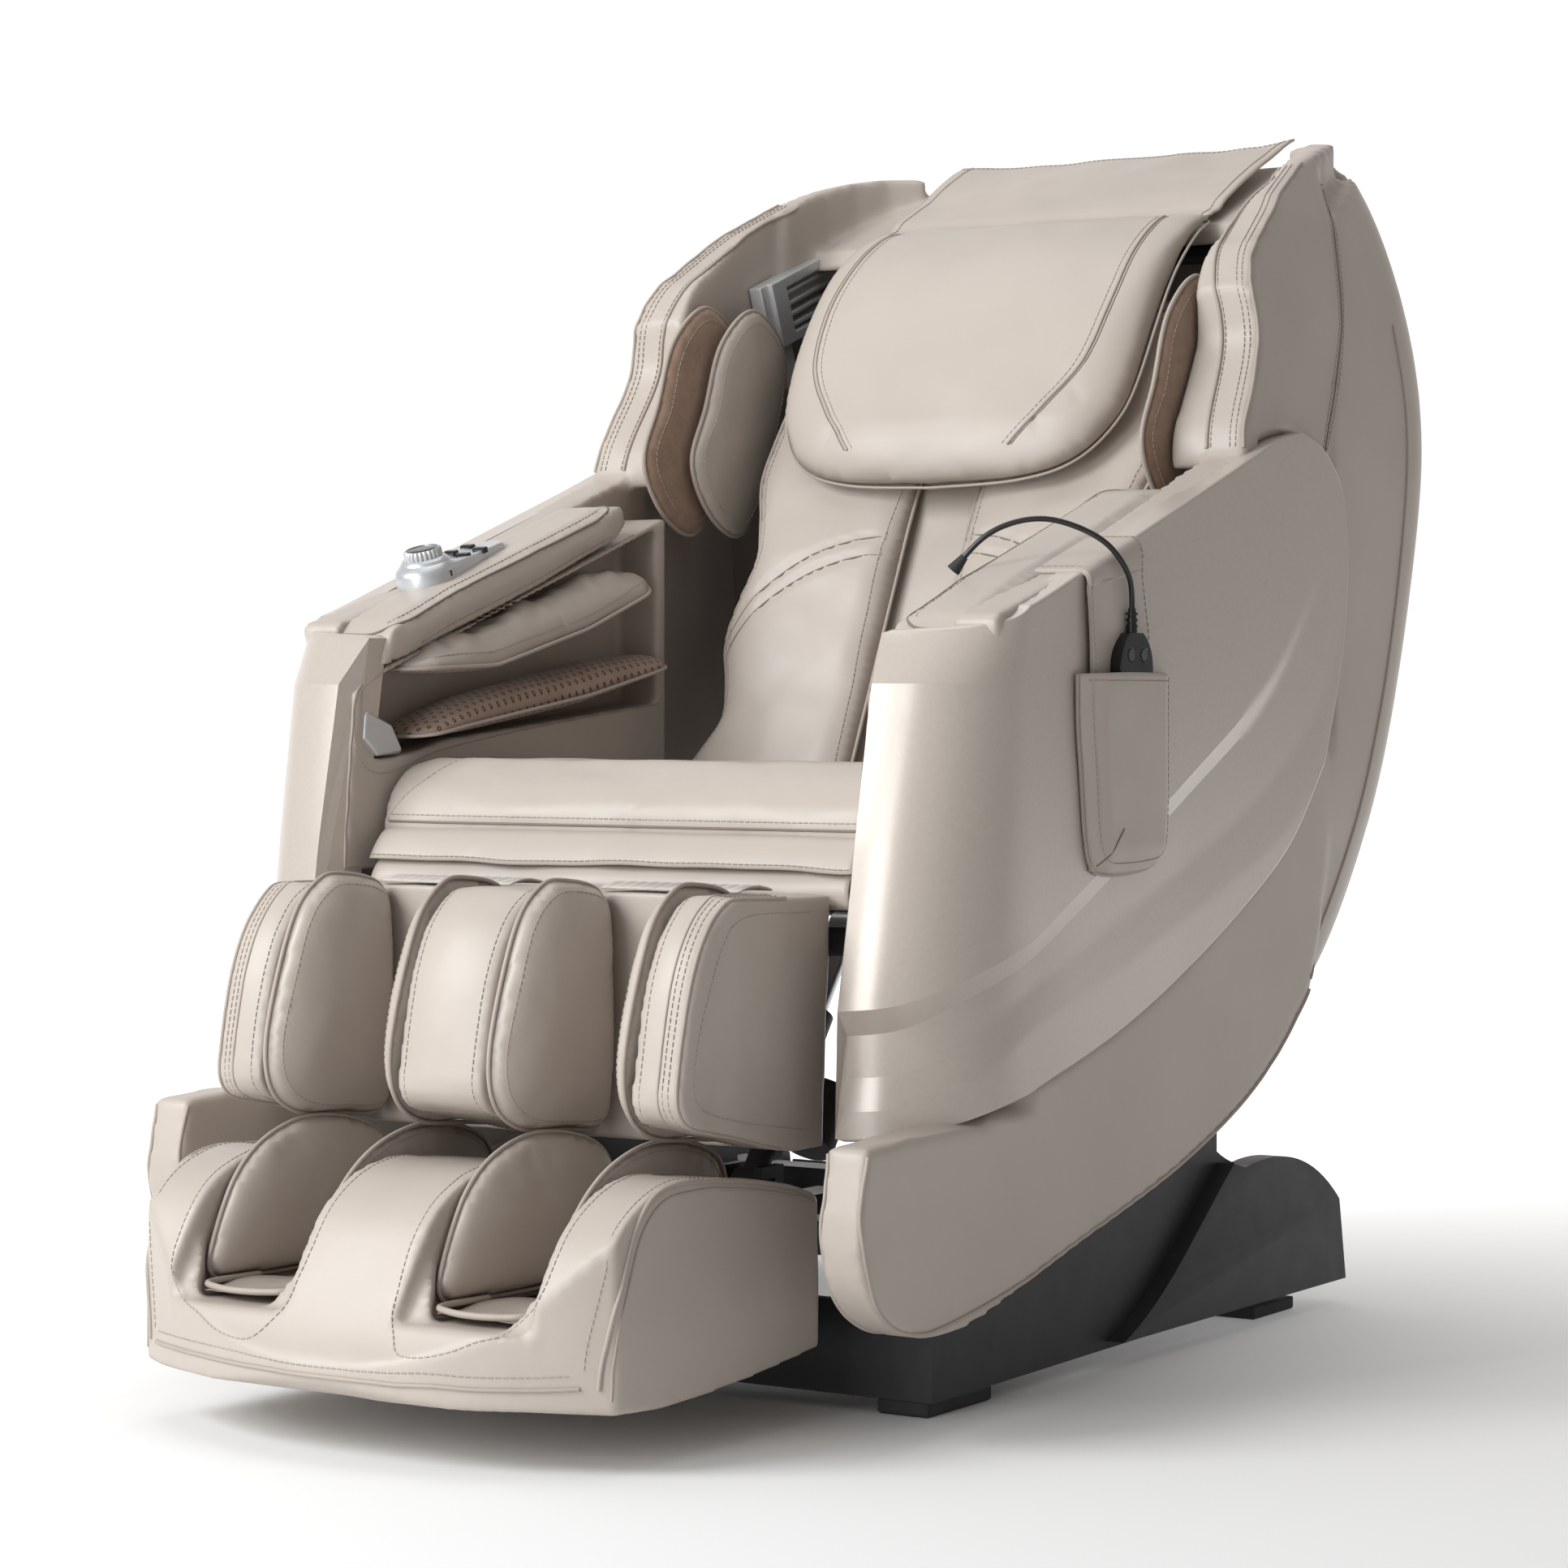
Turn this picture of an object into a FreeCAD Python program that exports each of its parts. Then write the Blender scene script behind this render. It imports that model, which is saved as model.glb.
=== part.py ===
"""Full-body massage chair: tilting L-track cradle on a gliding base, lifting leg rest, foot box.

Millimetres. +Z is up, the sitter faces -Y, and the sitter's left side is +X. Shapes are drawn
about a datum on the floor below the seat and moved by DATUM on export, which puts the origin at
the middle of the chair's footprint.
"""
import FreeCAD, Part
import math
import os
from FreeCAD import Vector

# ---- driving dimensions ----------------------------------------------------------------------
DATUM = Vector(0, 25, 0)        # from the drawing datum to the exported origin
HALF_WIDTH = 386                # leather side of the shell
SHELL_INNER = 346               # inner face of the side shell
PANEL_FACE = 399                # outer face of the moulded side panel
PANEL_BACK = 370                # its inner face, seated in a pocket of the shell
SEAT_HALF = 283                 # inner face of the arms
BODY_HALF = 250                 # half width of the leg rest, the foot box and the back pads
WING_INNER = 304                # inner face of the head wings
TOP = 1205                      # top of the back cover

BACK_FOOT = Vector(0, 100, 500)     # where the back's surface meets the seat
BACK_LEAN = math.radians(24.5)      # the back's lean from upright
TILT_PIVOT = Vector(0, 150, 350)    # recline axis, along X
LEG_PIVOT = Vector(0, -372, 424)    # leg rest axis, along X
WHEEL_CENTRE = Vector(0, 470, 28)   # transport wheels
WHEEL_RADIUS = 26
FOOT_THICK = 13                     # rubber floor pads

UP = Vector(0, math.sin(BACK_LEAN), math.cos(BACK_LEAN))
OUT = Vector(0, -math.cos(BACK_LEAN), math.sin(BACK_LEAN))
X_AXIS = Vector(1, 0, 0)
NODES = {}


# ---- helpers ---------------------------------------------------------------------------------
def wire_yz(spans, x):
    """A closed wire in a plane of constant X: a span of two points is a line, more is a curve."""
    edges = []
    for span in spans:
        points = [Vector(x, y, z) for y, z in span]
        if len(points) == 2:
            edges.append(Part.LineSegment(points[0], points[1]).toShape())
        else:
            curve = Part.BSplineCurve()
            curve.interpolate(points)
            edges.append(curve.toShape())
    return Part.Wire(edges)


def prism(spans, x0, x1):
    return Part.Face(wire_yz(spans, x0)).extrude(Vector(x1 - x0, 0, 0))


def slab(points, x0, x1):
    """A prism along X on a straight-sided outline."""
    closed = points + [points[0]]
    return prism([closed[i:i + 2] for i in range(len(points))], x0, x1)


def block(x0, x1, y0, y1, z0, z1):
    return Part.makeBox(x1 - x0, y1 - y0, z1 - z0, Vector(x0, y0, z0))


def rod(centre, radius, length, axis=X_AXIS):
    """A cylinder centred on a point."""
    unit = Vector(axis).normalize()
    return Part.makeCylinder(radius, length, centre - unit * (length / 2), unit)


def soften(shape, radius, keep=None):
    """Round the edges that pass the test; a radius that does not fit is halved."""
    for size in (radius, radius / 2, radius / 4):
        edges = [e for e in shape.Edges if keep is None or keep(e)]
        try:
            rounded = shape.makeFillet(size, edges)
        except Exception:
            continue
        if rounded.isValid() and len(rounded.Solids) == 1:
            return rounded
    print("left sharp", round(radius, 1))
    return shape


def mirrored(shape):
    return shape.mirror(Vector(0, 0, 0), Vector(1, 0, 0))


def pair(name, shape):
    """The sitter's left side is drawn, and the right side is its mirror image."""
    NODES[name + "_left"] = shape
    NODES[name + "_right"] = mirrored(shape)


def on_back(across, along, depth):
    """A point in the back's own frame: X, distance up the back, depth below its surface."""
    return Vector(across, 0, 0) + BACK_FOOT + UP * along - OUT * depth


def back_block(x0, x1, along0, along1, depth0, depth1):
    """A box that leans with the back."""
    corners = [(along0, depth0), (along1, depth0), (along1, depth1), (along0, depth1)]
    outline = [on_back(0, a, d) for a, d in corners]
    return slab([(p.y, p.z) for p in outline], x0, x1)


def joined(shapes):
    whole = shapes[0]
    for shape in shapes[1:]:
        whole = whole.fuse(shape)
    return whole.removeSplitter()


def along_x(edge):
    """True for a straight edge that runs across the chair."""
    a, b = edge.Vertexes[0].Point, edge.Vertexes[-1].Point
    return abs(a.x - b.x) > 1 and abs(a.y - b.y) < 0.01 and abs(a.z - b.z) < 0.01


# ---- base ------------------------------------------------------------------------------------
RAIL_X = 235            # centre of the base's two long rails
RAIL = 40               # rail section
BASE_FRONT = -306
BASE_REAR = 496
SKIRT_OUT = 331
SKIRT_WALL = 5
BULGE_OUT = 350


def base_frame():
    parts = []
    for side in (-1, 1):
        x = side * RAIL_X
        parts.append(block(x - RAIL / 2, x + RAIL / 2, BASE_FRONT + 20, BASE_REAR - 16, 45, 45 + RAIL))
        parts.append(block(x - 12, x + 12, -160, 330, 84, 104))
    for y in (BASE_FRONT + 20, BASE_REAR - 111):
        parts.append(block(-300, 300, y, y + 50, FOOT_THICK + 3, 60))
    frame = joined(parts)
    for side in (-1, 1):
        lug = block(side * 203 - 5, side * 203 + 5, 424, 486, 14, 50)
        frame = frame.fuse(lug)
    return frame.fuse(rod(WHEEL_CENTRE, 8, 424)).removeSplitter()


def base_cover():
    """One moulding: two side skirts with a swept rear bulge, and the front cross panel."""
    skirt = [[(BASE_FRONT, FOOT_THICK), (BASE_FRONT, 96)],
             [(BASE_FRONT, 96), (-95, 138), (113, 200), (238, 262)],
             [(238, 262), (238, 179)], [(238, 179), (263, 168), (459, 128), (483, 112)],
             [(483, 112), (BASE_REAR, 22)], [(BASE_REAR, 22), (BASE_FRONT, FOOT_THICK)]]
    bulge = [[(10, 24), (90, 62), (170, 118), (238, 168)], [(238, 168), (263, 162)],
             [(263, 162), (459, 124), (480, 108)], [(480, 108), (BASE_REAR, 24)],
             [(BASE_REAR, 24), (10, 24)]]
    solid = prism(skirt, -SKIRT_OUT, SKIRT_OUT)
    raised = prism(bulge, -BULGE_OUT, BULGE_OUT)
    outer = solid.fuse(raised).removeSplitter()
    inner = SKIRT_OUT - SKIRT_WALL
    hollow = block(-inner, inner, BASE_FRONT + SKIRT_WALL, BASE_REAR + 10, 0, 400)
    cover = outer.cut(hollow)
    front = block(-inner, inner, BASE_FRONT, BASE_FRONT + SKIRT_WALL, 16, 92)
    for side in (-1, 1):
        x = side * (SKIRT_OUT - 26)
        leg = block(x - 26, x + 26, BASE_FRONT, BASE_FRONT + 100, FOOT_THICK, 44)
        cover = cover.fuse(leg)
    tail = block(-inner, inner, BASE_REAR - 8, BASE_REAR - 3, 40, 104)
    cover = cover.fuse(front).fuse(tail)
    cover = cover.cut(rod(WHEEL_CENTRE, WHEEL_RADIUS + 6, 640))
    cover = cover.cut(block(INLET.x - 46.5, INLET.x + 46.5, INLET.y - 10, INLET.y + 10,
                            INLET.z - 16.5, INLET.z + 16.5))
    return cover.cut(base_frame()).removeSplitter()


def floor_pads():
    pads = []
    for side in (-1, 1):
        x = side * (SKIRT_OUT - 30)
        for y0, y1 in ((BASE_FRONT, BASE_FRONT + 110), (330, 420)):
            top = FOOT_THICK
            pad = block(x - 26, x + 26, y0, y1, 0, top)
            pads.append(soften(pad, 3, lambda e: e.BoundBox.ZMax < 0.1))
    return Part.Compound(pads)


def transport_wheel(side):
    centre = WHEEL_CENTRE + Vector(side * 180, 0, 0)
    tread = soften(rod(centre, WHEEL_RADIUS, 20), 4, lambda e: e.BoundBox.ZLength > 40)
    for face in (-1, 1):
        tread = tread.cut(rod(centre + Vector(face * 10, 0, 0), 16, 8))
    return tread.cut(rod(centre, 8.06, 30))


INLET = Vector(-165, BASE_REAR - 3, 80)


def power_box():
    """Power supply and controller case on the tail of the base, with the mains inlet and switch."""
    y = INLET.y
    body = block(INLET.x - 50, INLET.x + 250, y - 95, y - 6, INLET.z - 18, INLET.z + 24)
    nose = block(INLET.x - 46, INLET.x + 46, y - 8, y + 3, INLET.z - 16, INLET.z + 16)
    body = body.fuse(nose).removeSplitter()
    body = body.cut(block(INLET.x - 40, INLET.x - 10, y - 20, y + 10, INLET.z - 11, INLET.z + 11))
    body = body.cut(block(INLET.x + 8, INLET.x + 38, y - 14, y + 10, INLET.z - 11, INLET.z + 11))
    for dx, dz in ((-33, -3), (-25, 4), (-17, -3)):
        pin = block(INLET.x + dx - 1, INLET.x + dx + 1, y - 22, y - 4, INLET.z + dz - 2.5,
                    INLET.z + dz + 2.5)
        body = body.fuse(pin)
    return body.removeSplitter()


def power_switch():
    """A rocker that turns about a line across its window."""
    centre = INLET + Vector(23, -3, 0)
    key = slab([(centre.y - 6, centre.z - 8), (centre.y + 9, centre.z - 8), (centre.y + 3, centre.z),
                (centre.y + 5, centre.z + 8), (centre.y - 6, centre.z + 8)], centre.x - 13, centre.x + 13)
    return key


def glide_carriage():
    """Sled on the base's rails, with the two recline pivot posts."""
    parts = []
    for side in (-1, 1):
        x = side * RAIL_X
        parts.append(block(x - 24, x + 24, -120, 290, 110, 134))
        parts.append(block(x - 24, x - 13, -120, 290, 88, 110))
        parts.append(block(x + 13, x + 24, -120, 290, 88, 110))
        post = slab([(70, 130), (230, 130), (176, 376), (124, 376)], x - 8, x + 8)
        parts.append(post)
    for y in (-110, 236):
        parts.append(block(-RAIL_X, RAIL_X, y, y + 40, 114, 132))
    sled = joined(parts)
    sled = sled.cut(rod(TILT_PIVOT, 12.05, 600))
    clevis = block(-26, 26, -110, -72, 130, 178)
    clevis = clevis.cut(block(-16, 16, -120, -60, 138, 190))
    pin = rod(RECLINE_FOOT, 6, 60)
    return sled.fuse(clevis).fuse(pin).removeSplitter()


# ---- recline actuator ------------------------------------------------------------------------
RECLINE_FOOT = Vector(0, -90, 160)      # lower pin, on the sled
RECLINE_HEAD = Vector(0, 84, 396)       # the rod's end, beside the seat frame's lug


def recline_direction():
    return (RECLINE_HEAD - RECLINE_FOOT).normalize()


def recline_motor():
    """Gear motor with its outer tube, free to swing on the lower pin."""
    unit = recline_direction()
    eye = rod(RECLINE_FOOT, 15, 28).fuse(Part.makeCylinder(12, 44, RECLINE_FOOT, unit))
    eye = eye.cut(rod(RECLINE_FOOT, 6.06, 40))
    tube = Part.makeCylinder(19, 154, RECLINE_FOOT + unit * 38, unit)
    case = Part.makeCylinder(27, 62, RECLINE_FOOT + unit * 44 + Vector(46, 0, 0), unit)
    bridge = block(0, 44, -20, 20, 0, 50)
    bridge.Placement = FreeCAD.Placement(RECLINE_FOOT + unit * 48,
                                         FreeCAD.Rotation(Vector(0, 0, 1), unit))
    body = eye.fuse(tube).fuse(case).fuse(bridge)
    bore = Part.makeCylinder(11.05, 160, RECLINE_FOOT + unit * 50, unit)
    return body.cut(bore).removeSplitter()


def recline_rod():
    unit = recline_direction()
    reach = (RECLINE_HEAD - RECLINE_FOOT).Length
    shaft = Part.makeCylinder(11, reach - 66, RECLINE_FOOT + unit * 56, unit)
    eye = rod(RECLINE_HEAD, 15, 26).cut(rod(RECLINE_HEAD, 7, 40))
    return shaft.fuse(eye).removeSplitter()


# ---- cradle structure ------------------------------------------------------------------------
SEAT_RAIL_X = 262


def seat_frame():
    """Welded steel: seat rails, back posts, cross tubes, recline trunnions and actuator lug."""
    parts = []
    for side in (-1, 1):
        x = side * (SEAT_RAIL_X + 3)
        parts.append(slab([(-318, 428), (-318, 392), (240, 392), (240, 428)], x - 15, x + 15))
        parts.append(slab([(222, 392), (262, 392), (600, 1128), (570, 1142)], x - 15, x + 15))
        trunnion = slab([(110, 330), (190, 330), (196, 400), (104, 400)], x - 8, x + 8)
        parts.append(trunnion)
        parts.append(rod(Vector(side * 243, TILT_PIVOT.y, TILT_PIVOT.z), 12, 62))
        parts.append(slab([(390, 680), (486, 680), (486, 706), (402, 706)], x - 6, x + 6))
    for y, z in ((-304, 410), (230, 410), (472, 693), (560, 1100)):
        parts.append(rod(Vector(0, y, z), 13, 2 * SEAT_RAIL_X))
    return joined(parts)


def side_outline():
    """The shell's side: swept underside, plain front, arm line, then the stepped wing front."""
    underside = [(-512, 200), (-484, 120), (-420, 91), (-213, 120), (15, 175), (218, 249), (334, 332)]
    return [underside, [(334, 332), (376, 540), (368, 858), (432, 1001), (470, 1100), (492, 1186)],
            [(492, 1186), (448, 1170)],
            [(448, 1170), (255, 1076)], [(255, 1076), (214, 1050), (196, 1024)],
            [(196, 1024), (199, 983)], [(199, 983), (186, 846)], [(186, 846), (-150, 716)],
            [(-150, 716), (-290, 650)], [(-290, 650), (-340, 470)], [(-340, 470), (-352, 262)],
            [(-352, 262), (-500, 256)], [(-500, 256), (-512, 200)]]


def panel_outline(grow=0.0):
    """The moulded side panel's edge, or the pocket it sits in when grown."""
    g = grow
    lower = [(-386, 262 - g), (-328, 268 - g), (-211, 292 - g), (-93, 323 - g), (32, 367 - g),
             (164, 427 - g), (262 + g, 485 - g), (334 + g, 560 - g)]
    rear = [(334 + g, 560 - g), (377 + g, 675), (389 + g, 739), (376 + g, 828),
            (332 + g, 865 + g), (290, 880 + g)]
    top = [(290, 880 + g), (232, 869 + g), (136, 835 + g), (-35, 775 + g), (-150, 735 + g),
           (-282, 690 + g)]
    return lower, rear, top


def panel_solid(x0, x1, grow=0.0):
    lower, rear, top = panel_outline(grow)
    front = [[top[-1], (-318, 655)], [(-318, 655), (-360, 455)], [(-360, 455), lower[0]]]
    return prism([lower, rear, top] + front, x0, x1)


def wing_taper():
    """What the shell loses as it narrows towards the head end."""
    outline = [(HALF_WIDTH + 60, 850), (HALF_WIDTH, 850), (372, 1000), (345, 1110), (312, 1190),
               (300, 1260), (HALF_WIDTH + 60, 1260)]
    points = [Vector(x, -100, z) for x, z in outline]
    points.append(points[0])
    return Part.Face(Part.makePolygon(points)).extrude(Vector(0, 900, 0))


def side_shell():
    plate = prism(side_outline(), SHELL_INNER, HALF_WIDTH)
    wing = [[(186, 846), (199, 983)], [(199, 983), (196, 1024)],
            [(196, 1024), (214, 1050), (255, 1076)], [(255, 1076), (448, 1170)],
            [(448, 1170), (492, 1186)], [(492, 1186), (452, 1060)], [(452, 1060), (330, 846)],
            [(330, 846), (186, 846)]]
    liner = prism(wing, WING_INNER, SHELL_INNER)
    shell = plate.fuse(liner).removeSplitter().cut(wing_taper())
    pocket = panel_solid(PANEL_BACK - 1, PANEL_FACE + 20, 4)
    front = slab([(-300, 720), (-420, 720), (-420, 258), (-300, 258)], PANEL_BACK - 1, 420)
    return shell.cut(pocket).cut(front).cut(cover_envelope())


def side_panel():
    """Moulded panel in three stepped bands that sweep up from the front to the rear."""
    full = panel_solid(PANEL_BACK, PANEL_FACE)
    sweep_a = [(-560, 362), (-384, 370), (-277, 397), (-163, 447), (48, 546), (222, 642), (420, 800)]
    sweep_b = [(-560, 338), (-428, 338), (-322, 350), (-211, 376), (32, 457), (164, 507), (420, 660)]
    sweep_c = [(-560, 298), (-428, 298), (-322, 311), (-211, 336), (-93, 369), (97, 430), (420, 580)]
    for sweep, depth in ((sweep_a, 4), (sweep_b, 4), (sweep_c, 3)):
        below = prism([sweep, [sweep[-1], (420, 200)], [(420, 200), (-560, 200)],
                       [(-560, 200), sweep[0]]], PANEL_FACE - depth, PANEL_FACE + 20)
        if depth == 4 and sweep is sweep_a:
            full = full.cut(below)
        elif sweep is sweep_b:
            full = full.cut(below.translated(Vector(-depth, 0, 0)))
        else:
            full = full.cut(below.translated(Vector(-2 * depth - 1, 0, 0)))
    nose = [[(-282, 690), (-310, 678)], [(-310, 678), (-349, 636)], [(-349, 636), (-375, 499)],
            [(-375, 499), (-398, 362)], [(-398, 362), (-377, 333)], [(-377, 333), (-386, 262)],
            [(-386, 262), (-372, 262)], [(-372, 262), (-366, 340)], [(-366, 340), (-361, 499)],
            [(-361, 499), (-336, 630)], [(-336, 630), (-306, 666)], [(-306, 666), (-282, 690)]]
    wrap = prism(nose, SEAT_HALF + 1, PANEL_FACE)
    corner = Part.Face(Part.Wire([
        Part.Arc(Vector(PANEL_FACE, -290, 0), Vector(374, -352, 0), Vector(310, -400, 0)).toShape(),
        Part.makePolygon([Vector(310, -400, 0), Vector(310, -480, 0), Vector(480, -480, 0),
                          Vector(480, -290, 0), Vector(PANEL_FACE, -290, 0)])])).extrude(
                              Vector(0, 0, 900))
    return full.fuse(wrap).cut(corner).removeSplitter()


COVER_SECTIONS = (      # height, half width, rearmost Y, front Y of the section
    (338, 366, 430, 345), (430, 380, 515, 366), (520, HALF_WIDTH, 566, 382), (640, HALF_WIDTH, 622, 386),
    (780, HALF_WIDTH, 666, 380), (880, HALF_WIDTH, 682, 384), (980, 375, 686, 424), (1080, 354, 672, 464),
    (1150, 330, 655, 486), (TOP - 10, 306, 636, 500))


def cover_section(z, half, rear, front, corner=105):
    """A U-shaped outline closed across its open side."""
    radius = min(corner, rear - front - 5, half - 20)
    k = radius * (1 - math.sqrt(0.5))
    edges = [Part.LineSegment(Vector(half, front, z), Vector(half, rear - radius, z)).toShape(),
             Part.Arc(Vector(half, rear - radius, z), Vector(half - k, rear - k, z),
                      Vector(half - radius, rear, z)).toShape(),
             Part.LineSegment(Vector(half - radius, rear, z), Vector(-half + radius, rear, z)).toShape(),
             Part.Arc(Vector(-half + radius, rear, z), Vector(-half + k, rear - k, z),
                      Vector(-half, rear - radius, z)).toShape(),
             Part.LineSegment(Vector(-half, rear - radius, z), Vector(-half, front, z)).toShape(),
             Part.LineSegment(Vector(-half, front, z), Vector(half, front, z)).toShape()]
    return Part.Wire(edges)


def cover_envelope():
    """The solid outer form of the back cover."""
    return Part.makeLoft([cover_section(z, h, r, f + 1) for z, h, r, f in COVER_SECTIONS], True)


def above_flap(drop):
    """Everything above the sloping top of the back, lowered by a given amount."""
    return slab([(440, 1098 - drop), (700, 1228 - drop), (700, 1400), (440, 1400)], -450, 450)


def back_cover():
    """The rounded rear shell with its sloping closed top; the side panels sit in its flanks."""
    wall = 20
    outer = cover_envelope().cut(above_flap(0))
    inner_sections = []
    for z, h, r, f in COVER_SECTIONS:
        inner_sections.append(cover_section(z, h - wall, r - wall, f - 30, 85))
    low = inner_sections[0].copy()
    low.translate(Vector(0, -8, -30))
    inner = Part.makeLoft([low] + inner_sections, True).cut(above_flap(wall))
    pocket = panel_solid(PANEL_BACK - 1, PANEL_FACE + 20, 4)
    cover = outer.cut(inner).cut(pocket).cut(mirrored(pocket))
    tail_gap = block(3 - SHELL_INNER, SHELL_INNER - 3, 300, 580, 300, 400)
    grille = slab([(380, 950), (600, 1000), (600, 1200), (380, 1110)], WING_INNER - 25, WING_INNER + 1)
    return cover.cut(tail_gap).cut(grille).cut(mirrored(grille))


RAIL_DEPTH = 97         # front edge of the guide channels behind the back's surface


def track_rails():
    """Two guide channels that follow the seat and then climb the back, joined by cross straps."""
    rails = []
    for side in (-1, 1):
        x = side * 168
        foot = on_back(0, 20, RAIL_DEPTH)
        head = on_back(0, 640, RAIL_DEPTH)
        path = [[(-180, 470), (-30, 448), (90, 458), (foot.y, foot.z)],
                [(foot.y, foot.z), (head.y, head.z)]]
        back = on_back(0, 640, RAIL_DEPTH + 30)
        heel = on_back(0, 0, RAIL_DEPTH + 30)
        path += [[(head.y, head.z), (back.y, back.z)], [(back.y, back.z), (heel.y, heel.z)],
                 [(heel.y, heel.z), (110, 428), (-30, 418), (-180, 440)], [(-180, 440), (-180, 470)]]
        rails.append(prism(path, x - 6, x + 6))
    for along in (10, 625):
        centre = on_back(0, along, RAIL_DEPTH + 20)
        rails.append(rod(centre, 7, 336))
    return joined(rails)


# ---- massage mechanism -----------------------------------------------------------------------
CAR_LOW, CAR_HIGH = 90, 250         # the carriage's ends along the back, at its lowest
ROCK_AXIS = (170, 146)              # kneading axle: along the back, depth


def massage_carriage():
    """Plate frame with two motors and the kneading axle, riding between the guide channels."""
    frame = back_block(-158, 158, CAR_LOW, CAR_HIGH, 170, 176)
    for side in (-1, 1):
        cheek = back_block(side * 155 - 3, side * 155 + 3, CAR_LOW, CAR_HIGH, 104, 172)
        frame = frame.fuse(cheek)
        for along in (CAR_LOW + 18, CAR_HIGH - 18):
            frame = frame.fuse(rod(on_back(side * 158, along, RAIL_DEPTH + 15), 6, 6))
    for side, along in ((-1, 120), (1, 206)):
        motor = Part.makeCylinder(30, 92, on_back(side * 60 - 46, along, 208), X_AXIS)
        foot = back_block(side * 60 - 30, side * 60 + 30, along - 20, along + 20, 174, 192)
        frame = frame.fuse(motor).fuse(foot)
    frame = frame.fuse(rod(on_back(0, *ROCK_AXIS), 9, 306))
    return frame.removeSplitter()


ROLLER_SPOTS = {"upper": (238, 90), "lower": (102, 90)}
ROLLER_RADIUS = 26
ROLLER_X = 62


def massage_arms():
    """Two bell cranks on the kneading axle, tied by a cross tube; each carries two roller pins."""
    arms = []
    hub = on_back(0, *ROCK_AXIS)
    for side in (-1, 1):
        x = side * ROLLER_X
        plate_points = []
        for along, depth in ((224, 100), (238, 80), (252, 100), (196, 162), (144, 162), (88, 100),
                             (102, 80), (116, 100), (150, 126), (190, 126)):
            spot = on_back(0, along, depth)
            plate_points.append((spot.y, spot.z))
        arm = slab(plate_points, x - 5, x + 5)
        for along, depth in ROLLER_SPOTS.values():
            arm = arm.fuse(rod(on_back(x + side * 20, along, depth), 5, 46))
        arms.append(arm)
    sleeve = rod(hub, 15, 2 * ROLLER_X + 30)
    whole = joined(arms + [sleeve])
    return whole.cut(rod(hub, 9.06, 400))


def roller_pair(spot):
    """Two crowned massage rollers on one line, one per arm."""
    along, depth = spot
    rollers = []
    for side in (-1, 1):
        centre = on_back(side * (ROLLER_X + 24), along, depth)
        wheel = rod(centre, ROLLER_RADIUS, 28)
        wheel = soften(wheel, 10, lambda e: e.BoundBox.XLength < 0.1 and e.BoundBox.YLength > 50)
        rollers.append(wheel.cut(rod(centre, 5.06, 80)))
    return Part.Compound(rollers)


# ---- arms ------------------------------------------------------------------------------------
def arm():
    """Padded inner arm with its forearm tunnel; the rim is open to the seat side and the front."""
    outline = [[(-304, 648), (-150, 697)], [(-150, 697), (176, 812)], [(176, 812), (176, 462)],
               [(176, 462), (-352, 462)], [(-352, 462), (-334, 628)], [(-334, 628), (-304, 648)]]
    body = prism(outline, SEAT_HALF, SHELL_INNER - 1)
    tunnel = [[(-322, 632), (-292, 646)], [(-292, 646), (-201, 677), (160, 800)], [(160, 800), (160, 618)],
              [(160, 618), (-201, 583)], [(-201, 583), (-262, 569), (-304, 566)],
              [(-304, 566), (-326, 584)], [(-326, 584), (-322, 632)]]
    return body.cut(prism(tunnel, SEAT_HALF - 10, SHELL_INNER - 12))


def arm_pad():
    outline = [[(-298, 650), (-294, 670), (-276, 689)], [(-276, 689), (-181, 728), (-49, 772), (66, 812)],
               [(66, 812), (92, 818), (100, 800), (84, 786)], [(84, 786), (-49, 735), (-181, 690)],
               [(-181, 690), (-262, 662), (-298, 650)]]
    pad = prism(outline, SEAT_HALF - 3, PANEL_BACK - 4)
    keep = block(SEAT_HALF - 10, SHELL_INNER - 1, -400, 300, 500, 900)
    return pad.common(keep)


def forearm_bags():
    """Two air cushions in the tunnel: one hangs from its roof, one lies on its floor."""
    x0, x1 = SEAT_HALF - 28, SHELL_INNER - 14
    upper = prism([[(-268, 651), (-149, 655), (60, 712), (112, 732)],
                   [(112, 732), (130, 752), (114, 774)], [(114, 774), (60, 759)],
                   [(60, 759), (-181, 679)], [(-181, 679), (-268, 651)]], x0, x1)
    lower = prism([[(-258, 592), (-200, 611), (60, 654), (150, 676)],
                   [(150, 676), (158, 664), (152, 642)], [(152, 642), (-60, 606)],
                   [(-60, 606), (-200, 590)], [(-200, 590), (-258, 578)], [(-258, 578), (-258, 592)]],
                  x0, x1)
    roof = block(x0 - 5, SEAT_HALF + 1, -400, 300, 500, 900)
    pad_room = roof.common(prism([[(-330, 655), (-181, 690)], [(-181, 690), (-49, 735)],
                                  [(-49, 735), (120, 800)], [(120, 800), (120, 900)],
                                  [(120, 900), (-330, 900)], [(-330, 900), (-330, 655)]],
                                 x0 - 5, SEAT_HALF + 1))
    return Part.Compound([upper.cut(pad_room), lower])


def arm_trim():
    """Bright bracket that closes the tunnel's lower front corner."""
    outline = [[(-324, 584), (-304, 568)], [(-304, 568), (-264, 571)], [(-264, 571), (-282, 598)],
               [(-282, 598), (-321, 612)], [(-321, 612), (-324, 584)]]
    trim = prism(outline, SEAT_HALF - 2, SHELL_INNER - 14)
    return soften(trim, 4, along_x)


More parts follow.
